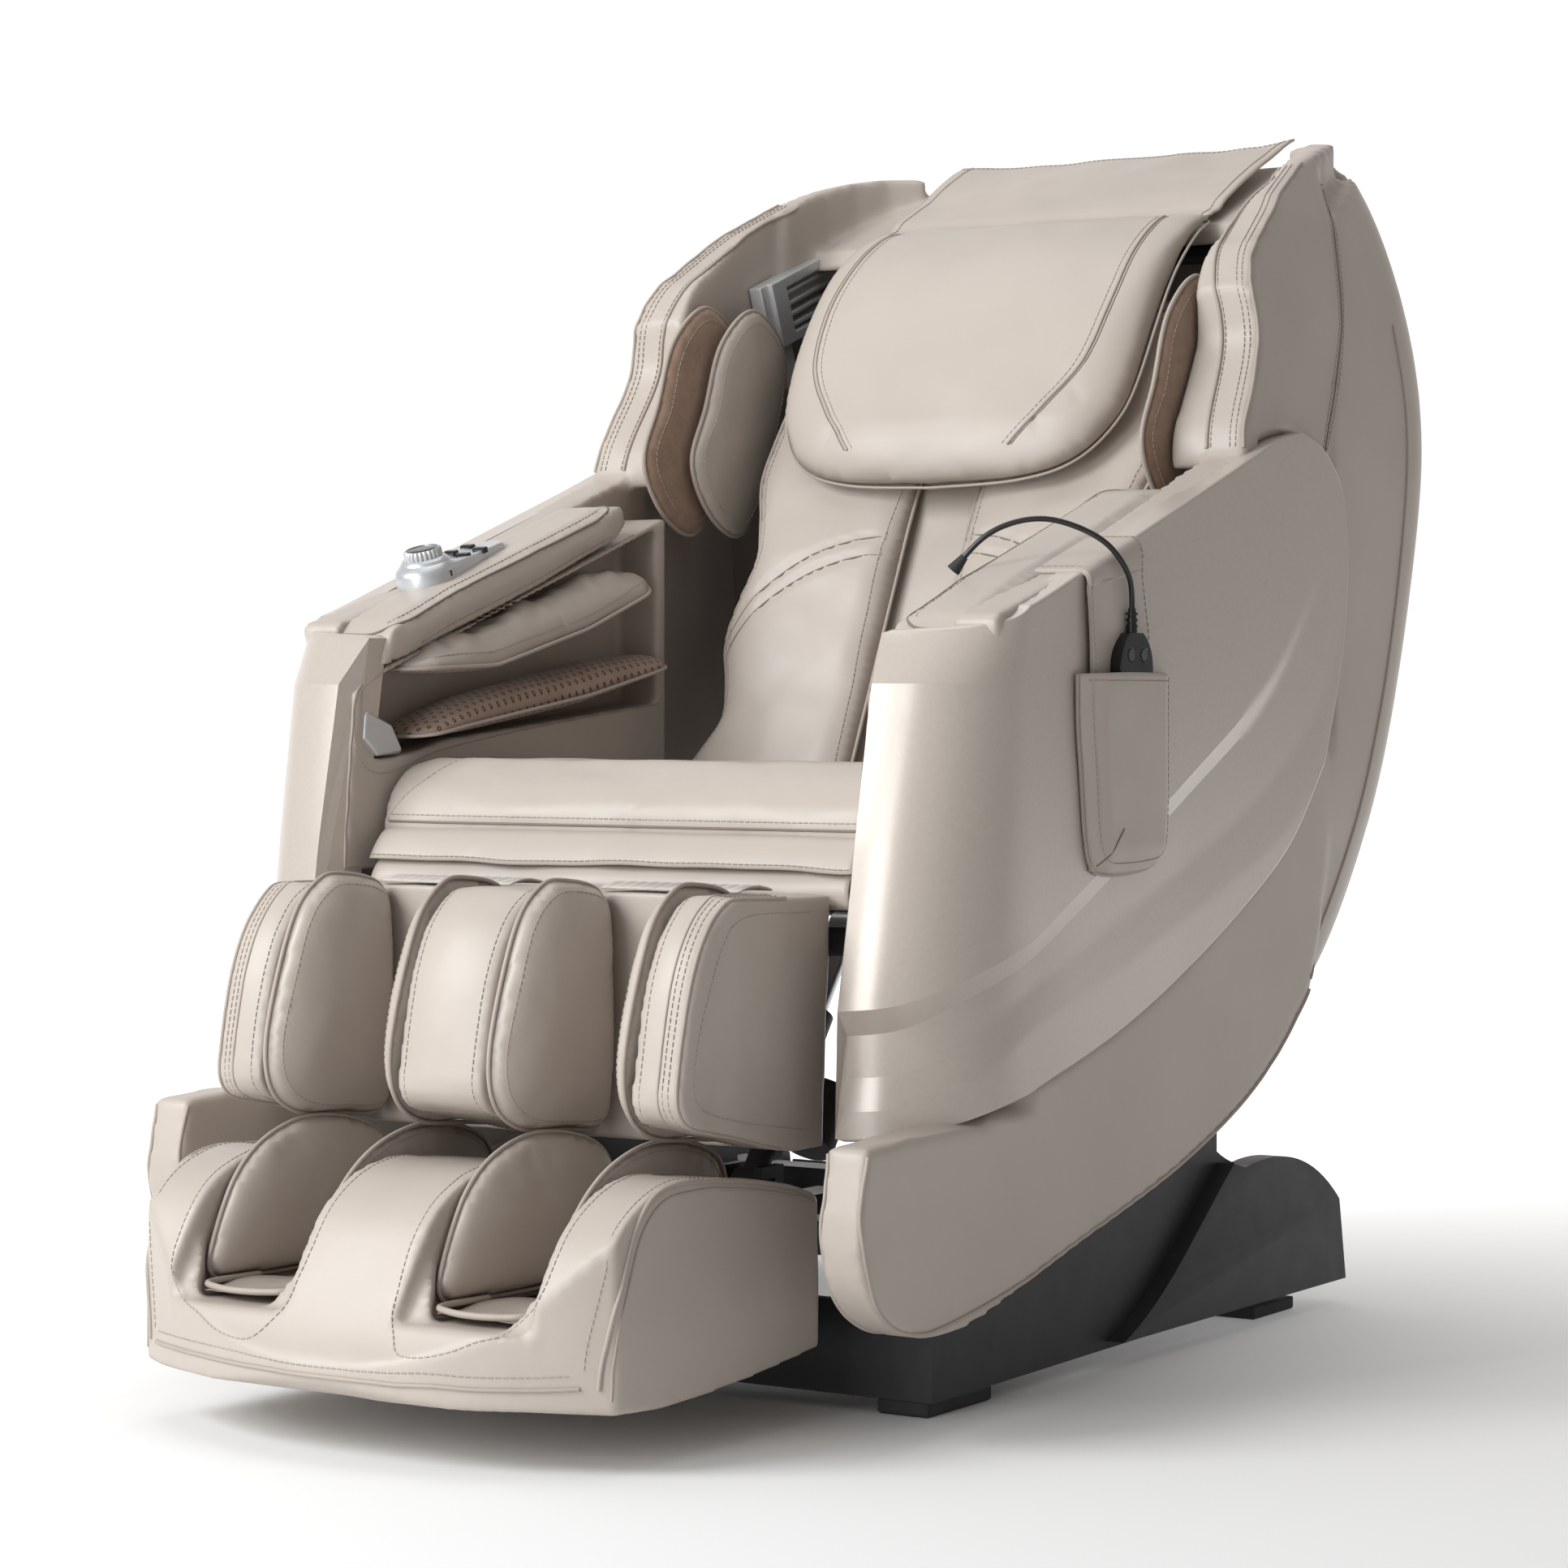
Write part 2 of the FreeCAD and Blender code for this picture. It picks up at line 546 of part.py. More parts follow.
# ---- head wings ------------------------------------------------------------------------------
def shoulder_bags():
    """Two air cushions one in front of the other on the wing's inner face."""
    bags = []
    for step in (0, 1):
        y = step * 58
        outline = [[(206 + y, 1000), (176 + y, 930), (150 + y, 868)],
                   [(150 + y, 868), (190 + y, 812), (250 + y, 800)],
                   [(250 + y, 800), (300 + y, 880), (330 + y, 990)],
                   [(330 + y, 990), (270 + y, 1040), (206 + y, 1000)]]
        outer = WING_INNER - 2 - step * 21
        bags.append(prism(outline, outer - 19, outer))
    return Part.Compound(bags)


def speaker_grille():
    """Louvred outlet set in the wing: a frame, four slats and an angled lower bezel."""
    across = Vector(0, math.cos(math.radians(21)), math.sin(math.radians(21)))
    rise = Vector(0, -across.z, across.y)
    corner = Vector(0, 400, 1012)

    def bar(a0, a1, r0, r1, x0, x1):
        spots = [corner + across * a + rise * r for a, r in ((a0, r0), (a1, r0), (a1, r1), (a0, r1))]
        return slab([(p.y, p.z) for p in spots], x0, x1)

    inner, outer = WING_INNER - 23, WING_INNER - 1
    frame = bar(0, 170, -6, 66, inner, outer).cut(bar(30, 160, 4, 54, inner - 5, outer - 5))
    for i in range(4):
        rise0 = 8 + i * 12
        frame = frame.fuse(bar(26, 164, rise0, rise0 + 5, inner + 4, outer - 4))
    frame = frame.fuse(bar(-14, 26, -52, 66, inner + 6, outer))
    return frame.removeSplitter().common(block(0, 400, 300, 600, 900, 1200))


# ---- back, seat and pillow -------------------------------------------------------------------
def back_pad():
    """One side pad of the back, with a waisted outline."""
    inner = [on_back(34, a, 0) for a in (6, 250, 500, 590)]
    outer = [on_back(x, a, 0) for x, a in ((234, 590), (228, 500), (236, 400), (212, 300),
                                           (226, 200), (206, 110), (240, 50), (236, 6))]
    curve = Part.BSplineCurve()
    curve.interpolate(outer)
    edges = [Part.makePolygon(inner), Part.LineSegment(inner[-1], outer[0]).toShape(),
             curve.toShape(), Part.LineSegment(outer[-1], inner[0]).toShape()]
    pad = Part.Face(Part.Wire(edges)).extrude(OUT * -38)
    under_pillow = prism([[(150, 828), (258, 831)], [(258, 831), (307, 902), (366, 1002), (404, 1057)],
                          [(404, 1057), (438, 1094)], [(438, 1094), (300, 1200)],
                          [(300, 1200), (150, 828)]], -300, 300)
    return pad.cut(under_pillow)


def back_center_panel():
    return back_block(-232, 232, 2, 610, 45, 51)


def seat_cushion():
    outline = [[(-300, 470), (-304, 512), (-284, 545), (-227, 556)],
               [(-227, 556), (-60, 548), (80, 506)], [(80, 506), (60, 488)],
               [(60, 488), (-60, 478), (-180, 480)], [(-180, 480), (-230, 472), (-300, 470)]]
    return prism(outline, -SEAT_HALF + 5, SEAT_HALF - 5)


def seat_flaps():
    """Overlapping leather skirts across the seat's front edge."""
    upper = prism([[(-310, 508), (-318, 500)], [(-318, 500), (-329, 478)], [(-329, 478), (-324, 476)],
                   [(-324, 476), (-307, 494)], [(-307, 494), (-310, 508)]],
                  -SEAT_HALF + 14, SEAT_HALF - 14)
    lower = prism([[(-303, 468), (-322, 462)], [(-322, 462), (-326, 436)], [(-326, 436), (-320, 436)],
                   [(-320, 436), (-303, 452)], [(-303, 452), (-303, 468)]],
                  -SEAT_HALF + 14, SEAT_HALF - 14)
    return Part.Compound([upper, lower])




def pillow():
    """Head cushion that hangs on the back from its flap."""
    outline = [[(472, 1125), (420, 1108), (350, 1060), (298, 985), (254, 900), (226, 848)],
               [(226, 848), (234, 836), (256, 836)],
               [(256, 836), (303, 905), (362, 1005), (400, 1060), (438, 1098), (472, 1121)],
               [(472, 1121), (472, 1125)]]
    body = prism(outline, -212, 212)
    return body


def pillow_flap():
    """Leather sheet from the pillow over the top of the back."""
    outer = [(476, 1128), (540, 1160), (600, 1190), (662, 1219)]
    inner = [(662, 1214), (600, 1184), (540, 1154), (478, 1122)]
    return prism([outer, [outer[-1], inner[0]], inner, [inner[-1], outer[0]]], -205, 205)


# ---- controls on the sitter's right arm ------------------------------------------------------
POD = Vector(-334, -120, 752.5)
POD_SLOPE = math.radians(18.4)
POD_ALONG = Vector(0, math.cos(POD_SLOPE), math.sin(POD_SLOPE))
POD_NORMAL = Vector(0, -math.sin(POD_SLOPE), math.cos(POD_SLOPE))


def pod_place(shape, across, along, height):
    """Put a shape drawn about the origin onto the pod's sloping top."""
    turn = FreeCAD.Rotation(X_AXIS, math.degrees(POD_SLOPE))
    spot = POD + X_AXIS * across + POD_ALONG * along + POD_NORMAL * height
    shape = shape.copy()
    shape.Placement = FreeCAD.Placement(spot, turn)
    return shape


KNOB_ALONG = -42
BUTTON_SPOTS = ((14, 2), (-12, 16), (14, 30), (-12, 44))


def control_pod():
    """Low housing on the arm pad, with a raised ring for the knob and sockets for four keys."""
    low = Part.makeBox(52, 150, 10, Vector(-26, -75, -4))
    low = soften(low, 12, lambda e: e.BoundBox.ZLength > 9)
    ring = Part.makeCone(27, 23, 12, Vector(0, KNOB_ALONG, 6))
    body = low.fuse(ring)
    body = body.cut(Part.makeCylinder(4.06, 30, Vector(0, KNOB_ALONG, 0)))
    for x, y in BUTTON_SPOTS:
        body = body.cut(Part.makeBox(16, 9, 10, Vector(x - 8, y - 4.5, 0.5)))
    usb = Part.makeBox(13, 12, 5.5, Vector(-6.5, -80, -1.5))
    tongue = Part.makeBox(10, 9, 1.6, Vector(-5, -76, 1))
    return pod_place(body.cut(usb).fuse(tongue).removeSplitter(), 0, 0, 0)


def control_knob():
    """Dial with a fluted grip; its spindle sits in the pod."""
    dial = Part.makeCylinder(19, 14, Vector(0, 0, 18.5))
    for i in range(24):
        turn = 2 * math.pi * i / 24
        dial = dial.cut(Part.makeCylinder(1.3, 11, Vector(19.3 * math.cos(turn), 19.3 * math.sin(turn), 18)))
    dial = dial.cut(Part.makeCylinder(15, 3, Vector(0, 0, 31.5)))
    spindle = Part.makeCylinder(4, 16, Vector(0, 0, 3))
    return pod_place(dial.fuse(spindle), 0, KNOB_ALONG, 0)


def pod_button(spot):
    key = Part.makeBox(15.6, 8.6, 5.5, Vector(-7.8, -4.3, 2.8))
    key = soften(key, 1.2, lambda e: e.BoundBox.ZMin > 8)
    return pod_place(key, spot[0], spot[1], 0)


# ---- handset, pocket and cord on the sitter's left arm ---------------------------------------
POCKET_Y = (-176, -12)
POCKET_FACE = 418
HANDSET_Y = -88


def handset_pocket():
    """Pouch on the outside of the arm; its strap runs up and over the arm pad."""
    x0 = PANEL_FACE + 0.6
    front, rear = POCKET_Y
    outline = [[(front, 643), (front + 6, 560), (front + 16, 486)],
               [(front + 16, 486), (front + 30, 470), (front + 60, 466)],
               [(front + 60, 466), (rear - 20, 472), (rear, 500)], [(rear, 500), (rear, 645)],
               [(rear, 645), (front, 643)]]
    pouch = prism(outline, x0, POCKET_FACE)
    room = block(x0 + 3, POCKET_FACE - 2.5, front + 24, rear - 22, 500, 700)
    strap_out = slab([(-152, 640), (-44, 642), (-60, 752), (-156, 734)], x0, x0 + 2.4)
    top = slab([(-156, 739), (-156, 741.4), (-60, 773.4), (-60, 771)], 284, x0 + 2.4)
    lip = slab([(-156, 730), (-156, 741.4), (-60, 773.4), (-60, 744)], x0, x0 + 2.4)
    return pouch.cut(room).fuse(strap_out).fuse(top).fuse(lip).removeSplitter()


HANDSET_X = (403.2, 414.4)
HANDSET_TOP = 682


def handset():
    """Slim remote with rounded ends and two key sockets near its top."""
    x0, x1 = HANDSET_X
    half = 30
    top = HANDSET_TOP
    body = prism([[(HANDSET_Y - half, 640), (HANDSET_Y - half + 4, 668), (HANDSET_Y - 12, top)],
                  [(HANDSET_Y - 12, top), (HANDSET_Y + 12, top)],
                  [(HANDSET_Y + 12, top), (HANDSET_Y + half - 4, 668), (HANDSET_Y + half, 640)],
                  [(HANDSET_Y + half, 640), (HANDSET_Y + half - 4, 520)],
                  [(HANDSET_Y + half - 4, 520), (HANDSET_Y, 505), (HANDSET_Y - half + 4, 520)],
                  [(HANDSET_Y - half + 4, 520), (HANDSET_Y - half, 640)]], x0, x1)
    for dy in (-12, 12):
        body = body.cut(rod(Vector(x1, HANDSET_Y + dy, 662), 6, 8))
    return body


def handset_button(dy):
    return rod(Vector(HANDSET_X[1] - 0.6, HANDSET_Y + dy, 662), 5.7, 3.2)


CORD_RADIUS = 2.6
CORD_ROUTE = [Vector(x, y, z) for x, y, z in (
    (284, -172, 750), (297, -168, 766), (321, -158, 780), (350, -146, 785), (377, -133, 777),
    (400, -121, 763), (409, -108, 746), (411, -96, 731), (408.8, -88, 718), (408.8, -88, 704))]


def cord_path(points):
    """Straight runs joined by tangent arcs, each as large as its two runs allow."""
    edges = []
    start = points[0]
    for before, corner, after in zip(points, points[1:], points[2:]):
        into = (corner - before)
        away = (after - corner)
        turn = into.getAngle(away)
        shorter = min(into.Length, away.Length)
        trim = 0.45 * shorter
        radius = trim / math.tan(turn / 2)
        print("cord bend radius %.1f" % radius)
        into.normalize()
        away.normalize()
        first = corner - into * trim
        last = corner + away * trim
        middle = (first + last) * 0.5
        sag = radius / math.cos(turn / 2) - radius
        centre_side = (middle - corner).normalize()
        edges.append(Part.LineSegment(start, first).toShape())
        edges.append(Part.Arc(first, corner + centre_side * sag, last).toShape())
        start = last
    edges.append(Part.LineSegment(start, points[-1]).toShape())
    return Part.Wire(edges)


def handset_cord():
    path = cord_path(CORD_ROUTE)
    direction = (CORD_ROUTE[1] - CORD_ROUTE[0]).normalize()
    ring = Part.Wire([Part.makeCircle(CORD_RADIUS, CORD_ROUTE[0], direction)])
    tube = path.makePipeShell([ring], True, False)
    section = math.pi * CORD_RADIUS ** 2
    print("cord length %.1f, volume / (section * length) %.4f"
          % (path.Length, tube.Volume / (section * path.Length)))
    return tube


def cord_gland():
    """Grommet where the cord leaves the arm pad."""
    away = (CORD_ROUTE[1] - CORD_ROUTE[0]).normalize()
    return Part.makeCone(6.5, 3.6, 16, CORD_ROUTE[0] - away * 16, away)


def cord_relief():
    """Ribbed sleeve between the cord and the handset."""
    end = CORD_ROUTE[-1]
    away = (end - CORD_ROUTE[-2]).normalize()
    length = end.z - HANDSET_TOP
    sleeve = Part.makeCone(3.4, 5.0, length, end, away)
    for i in range(3):
        sleeve = sleeve.fuse(Part.makeCylinder(5.4, 2.4, end + away * (4 + 5.5 * i), away))
    return sleeve.removeSplitter()


# ---- leg rest --------------------------------------------------------------------------------
CALF_INNER = 200            # inner face of the outer calf walls
CALF_MIDDLE = 46            # half width of the middle calf wall
CALF_FLOOR = -402           # Y of the calf channels' rear wall


def calf_block():
    """Three padded walls on a rear board, which make two calf channels."""
    outline = [[(-340, 452), (-492, 456)], [(-492, 456), (-528, 428), (-560, 352), (-570, 300)],
               [(-570, 300), (-566, 280), (-548, 268)], [(-548, 268), (-400, 236)],
               [(-400, 236), (-352, 236)], [(-352, 236), (-340, 452)]]
    whole = prism(outline, -BODY_HALF, BODY_HALF)
    for side in (-1, 1):
        lo, hi = sorted((side * CALF_MIDDLE, side * CALF_INNER))
        whole = whole.cut(block(lo, hi, -600, CALF_FLOOR, 200, 500))
    slots = Part.Compound([block(s * 226 - 9, s * 226 + 9, -378, -362, 230, 432) for s in (-1, 1)])
    pin = rod(LEG_PIVOT, 10.06, 600)
    return whole.cut(slots).cut(pin)


def calf_bags():
    """Four puffed air cushions, one on each face of the two channels."""
    bags = []
    for side in (-1, 1):
        for wall, into in ((CALF_INNER, -1), (CALF_MIDDLE, 1)):
            x0 = side * (wall + into * 0.5)
            x1 = side * (wall + into * 30)
            lo, hi = sorted((x0, x1))
            outline = [[(-412, 444), (-488, 444)], [(-488, 444), (-520, 420), (-550, 350), (-556, 300)],
                       [(-556, 300), (-530, 276)], [(-530, 276), (-412, 256)], [(-412, 256), (-412, 444)]]
            bags.append(prism(outline, lo, hi))
    return Part.Compound(bags)


def legrest_frame():
    """Leg rest hinge pin, two swing arms behind the calf board, and the foot box's slide rods."""
    parts = [rod(LEG_PIVOT, 10, 2 * BODY_HALF - 2)]
    for side in (-1, 1):
        x = side * 226
        parts.append(block(x - 8.5, x + 8.5, -377.5, -362.5, 240, 430))
    return joined(parts)


# ---- foot box --------------------------------------------------------------------------------
WELL_IN, WELL_OUT = 60, 190
FOOT_FRONT = -741


def foot_box():
    """Bow-fronted box with two foot wells that open to the top and the front."""
    outline = [[(-360, 64), (-360, 195)], [(-360, 195), (-400, 206), (-535, 226)],
               [(-535, 226), (-600, 224), (-650, 200), (-690, 146), (-730, 90)],
               [(-730, 90), (FOOT_FRONT, 70), (-722, 52)], [(-722, 52), (-600, 46)],
               [(-600, 46), (-460, 52), (-360, 64)]]
    box = prism(outline, -BODY_HALF, BODY_HALF)
    bow = Part.Face(Part.Wire([
        Part.Arc(Vector(-BODY_HALF, -662, 0), Vector(0, FOOT_FRONT, 0),
                 Vector(BODY_HALF, -662, 0)).toShape(),
        Part.makePolygon([Vector(BODY_HALF, -662, 0), Vector(BODY_HALF, -300, 0),
                          Vector(-BODY_HALF, -300, 0), Vector(-BODY_HALF, -662, 0)])])).extrude(
                              Vector(0, 0, 300))
    box = box.common(bow)
    for side in (-1, 1):
        lo, hi = sorted((side * WELL_IN, side * WELL_OUT))
        well = slab([(-800, 118), (-660, 112), (-400, 100), (-385, 120), (-385, 260), (-800, 260)],
                    lo, hi)
        box = box.cut(well)
    return box.cut(rod(FOOT_ROLLER, 27, 2 * WELL_OUT + 20))


FOOT_ROLLER = Vector(0, -520, 84)


def foot_liners():
    """Soft piped liners on the sides of each foot well."""
    liners = []
    for side in (-1, 1):
        for wall, into in ((WELL_OUT, -1), (WELL_IN, 1)):
            x0 = side * (wall + into * 0.5)
            x1 = side * (wall + into * 14)
            lo, hi = sorted((x0, x1))
            outline = [[(-640, 128), (-600, 214)], [(-600, 214), (-420, 214)], [(-420, 214), (-400, 120)],
                       [(-400, 120), (-640, 128)]]
            liners.append(prism(outline, lo, hi))
    return Part.Compound(liners)


def foot_roller():
    """Sole roller: one shaft with studded rollers below each foot well."""
    parts = [rod(FOOT_ROLLER, 5, 2 * WELL_OUT + 16)]
    for side in (-1, 1):
        for i in range(4):
            x = side * (82 + 30 * i)
            parts.append(rod(FOOT_ROLLER + Vector(x, 0, 0), 18 + 4 * (i % 2), 20))
    return joined(parts)


# ---- electrics -------------------------------------------------------------------------------
def air_pump():
    """Air pump and valve block under the rear of the seat."""
    body = block(20, 150, 120, 205, 388, 431)
    body = soften(body, 5)
    for i in range(4):
        body = body.fuse(rod(Vector(40 + 26 * i, 122, 410), 4, 26, Vector(0, 1, 0)))
    return body


def build():
    NODES["base_frame"] = base_frame()
    NODES["base_cover"] = base_cover()
    NODES["floor_pads"] = floor_pads()
    NODES["transport_wheel_left"] = transport_wheel(1)
    NODES["transport_wheel_right"] = transport_wheel(-1)
    NODES["power_box"] = power_box()
    NODES["power_switch"] = power_switch()
    NODES["glide_carriage"] = glide_carriage()
    NODES["recline_motor"] = recline_motor()
    NODES["recline_rod"] = recline_rod()
    NODES["seat_frame"] = seat_frame()
    pair("side_shell", side_shell())
    pair("side_panel", side_panel())
    NODES["back_cover"] = back_cover()
    NODES["track_rails"] = track_rails()
    pair("arm", arm())
    pair("arm_pad", arm_pad())
    pair("forearm_bags", forearm_bags())
    pair("arm_trim", arm_trim())
    pair("shoulder_bags", shoulder_bags())
    pair("speaker_grille", speaker_grille())
    pair("back_pad", back_pad())
    NODES["back_center_panel"] = back_center_panel()
    NODES["seat_cushion"] = seat_cushion()
    NODES["seat_flaps"] = seat_flaps()
    NODES["pillow"] = pillow()
    NODES["pillow_flap"] = pillow_flap()
    NODES["control_pod"] = control_pod()
    NODES["arm_pad_right"] = NODES["arm_pad_right"].cut(NODES["control_pod"])
    NODES["control_knob"] = control_knob()
    for number, spot in enumerate(BUTTON_SPOTS, 1):
        NODES["pod_button_%d" % number] = pod_button(spot)
    NODES["handset_pocket"] = handset_pocket()
    NODES["handset"] = handset()
    NODES["handset_button_front"] = handset_button(-12)
    NODES["handset_button_rear"] = handset_button(12)
    NODES["handset_cord"] = handset_cord()
    NODES["cord_gland"] = cord_gland()
    NODES["cord_relief"] = cord_relief()
    NODES["massage_carriage"] = massage_carriage()
    NODES["massage_arms"] = massage_arms()
    for name, spot in ROLLER_SPOTS.items():
        NODES["roller_pair_" + name] = roller_pair(spot)
    NODES["legrest_frame"] = legrest_frame()
    NODES["calf_block"] = calf_block()
    NODES["calf_bags"] = calf_bags()
    NODES["foot_box"] = foot_box()
    NODES["foot_liners"] = foot_liners()
    NODES["foot_roller"] = foot_roller()
    NODES["air_pump"] = air_pump()


def export():
    os.makedirs("parts", exist_ok=True)
    for name, shape in NODES.items():
        shape = shape.copy()
        shape.translate(DATUM)
        if not shape.isValid():
            print("not valid:", name)
        solids = len(shape.Solids)
        if solids != 1:
            print("%s has %d solids" % (name, solids))
        shape.exportStep("parts/%s.step" % name)
    print(len(NODES), "nodes")


build()
export()
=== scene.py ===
"""Looks of the massage chair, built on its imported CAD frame. Metres, in the row's frame."""
import math

import bmesh
import bpy
import numpy as np
from mathutils import Matrix, Vector, noise
from mathutils.bvhtree import BVHTree
from mathutils.geometry import delaunay_2d_cdt


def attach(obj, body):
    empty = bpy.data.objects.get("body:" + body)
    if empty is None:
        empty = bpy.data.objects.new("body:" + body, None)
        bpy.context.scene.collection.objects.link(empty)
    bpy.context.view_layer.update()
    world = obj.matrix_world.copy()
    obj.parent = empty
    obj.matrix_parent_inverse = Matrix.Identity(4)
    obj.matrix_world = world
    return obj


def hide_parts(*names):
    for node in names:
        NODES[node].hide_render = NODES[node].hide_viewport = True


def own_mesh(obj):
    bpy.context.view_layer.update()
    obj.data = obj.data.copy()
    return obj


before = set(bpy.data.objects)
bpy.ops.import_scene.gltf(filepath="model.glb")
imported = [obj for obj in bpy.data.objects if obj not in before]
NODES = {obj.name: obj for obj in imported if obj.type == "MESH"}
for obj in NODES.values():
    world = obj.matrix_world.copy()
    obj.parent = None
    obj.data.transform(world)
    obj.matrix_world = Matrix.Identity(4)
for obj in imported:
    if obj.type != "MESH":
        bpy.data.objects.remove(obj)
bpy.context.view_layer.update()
SCENE = bpy.context.scene
SHIFT = 0.025                       # the drawing datum lies this far in front of the origin
LEAN = math.radians(24.5)           # the back's lean
BACK_FOOT = (0.100, 0.500)
UP = Vector((0, math.sin(LEAN), math.cos(LEAN)))
OUT = Vector((0, -math.cos(LEAN), math.sin(LEAN)))


def at(x, y, z):
    """A point given about the drawing datum."""
    return Vector((x, y + SHIFT, z))


def on_back(across, along, lift):
    """A point on the back: across, up the back, and lifted off its surface."""
    return at(across, *BACK_FOOT) + UP * along + OUT * lift


# ---- camera, light and floor -----------------------------------------------------------------
def make_camera():
    data = bpy.data.cameras.new("camera")
    data.lens, data.sensor_width = 89.83, 36
    data.clip_end = 40
    cam = bpy.data.objects.new("camera", data)
    cam.location = (2.059, -3.177, 0.626)
    cam.rotation_euler = (math.radians(88.7), 0, math.radians(33))
    SCENE.collection.objects.link(cam)
    SCENE.camera = cam


def area_light(name, spot, aim, size, power, colour=(1, 1, 1)):
    data = bpy.data.lights.new(name, "AREA")
    data.shape, data.size, data.size_y = "RECTANGLE", size[0], size[1]
    data.energy, data.color = power, colour
    lamp = bpy.data.objects.new(name, data)
    lamp.location = spot
    lamp.rotation_euler = (Vector(aim) - Vector(spot)).to_track_quat("-Z", "Y").to_euler()
    SCENE.collection.objects.link(lamp)


def make_studio():
    SCENE.view_settings.view_transform = "Standard"
    world = bpy.data.worlds.new("studio")
    SCENE.world = world
    world.use_nodes = True
    back = world.node_tree.nodes["Background"]
    back.inputs["Color"].default_value = (1.0, 0.978, 0.955, 1)
    tree = world.node_tree
    place = tree.nodes.new("ShaderNodeTexCoord")
    turn = tree.nodes.new("ShaderNodeVectorMath")
    turn.operation = "DOT_PRODUCT"
    turn.inputs[1].default_value = (-0.545, 0.838, 0)
    wall = tree.nodes.new("ShaderNodeMapRange")
    for key, value in (("From Min", 0.60), ("From Max", 0.88), ("To Min", 0.33), ("To Max", 1.06)):
        wall.inputs[key].default_value = value
    tree.links.new(place.outputs["Generated"], turn.inputs[0])
    tree.links.new(turn.outputs["Value"], wall.inputs["Value"])
    tree.links.new(wall.outputs["Result"], back.inputs["Strength"])
    floor = bpy.data.meshes.new("floor")
    n = 14.0
    floor.from_pydata([(-n, -n, 0), (n, -n, 0), (n, n, 0), (-n, n, 0)], [], [(0, 1, 2, 3)])
    ground = bpy.data.objects.new("floor", floor)
    SCENE.collection.objects.link(ground)
    ground.location.z = -0.0005
    mat = bpy.data.materials.new("floor")
    mat.use_nodes = True
    shader = mat.node_tree.nodes["Principled BSDF"]
    shader.inputs["Roughness"].default_value = 0.9
    tex = mat.node_tree.nodes.new("ShaderNodeTexNoise")
    tex.inputs["Scale"].default_value = 3.0
    ramp = mat.node_tree.nodes.new("ShaderNodeValToRGB")
    ramp.color_ramp.elements[0].color = (0.86, 0.855, 0.85, 1)
    ramp.color_ramp.elements[1].color = (0.92, 0.915, 0.91, 1)
    mat.node_tree.links.new(tex.outputs["Fac"], ramp.inputs["Fac"])
    mat.node_tree.links.new(ramp.outputs["Color"], shader.inputs["Base Color"])
    # The floor glows: its emission strength rises towards the back, away from the camera. This is painted
    # light that brightens the backdrop and also lights the chair's lower parts from below.
    spot = mat.node_tree.nodes.new("ShaderNodeTexCoord")
    reach = mat.node_tree.nodes.new("ShaderNodeVectorMath")
    reach.operation = "DOT_PRODUCT"
    reach.inputs[1].default_value = (-0.545, 0.838, 0)
    glow = mat.node_tree.nodes.new("ShaderNodeMapRange")
    for key, value in (("From Min", -0.3), ("From Max", 2.2), ("To Min", 0.0), ("To Max", 1.0)):
        glow.inputs[key].default_value = value
    shader.inputs["Emission Color"].default_value = (1, 1, 1, 1)
    mat.node_tree.links.new(spot.outputs["Object"], reach.inputs[0])
    mat.node_tree.links.new(reach.outputs["Value"], glow.inputs["Value"])
    mat.node_tree.links.new(glow.outputs["Result"], shader.inputs["Emission Strength"])
    floor.materials.append(mat)
    area_light("key", (-1.9, -3.3, 2.7), (0, -0.1, 0.6), (2.2, 2.0), 150, (0.955, 0.985, 1.0))
    area_light("front", (-0.2, -4.2, 1.1), (0, 0, 0.6), (1.3, 1.7), 60, (0.955, 0.985, 1.0))
    area_light("top", (-0.4, 0.2, 3.4), (0, 0, 0.6), (2.4, 2.4), 26)


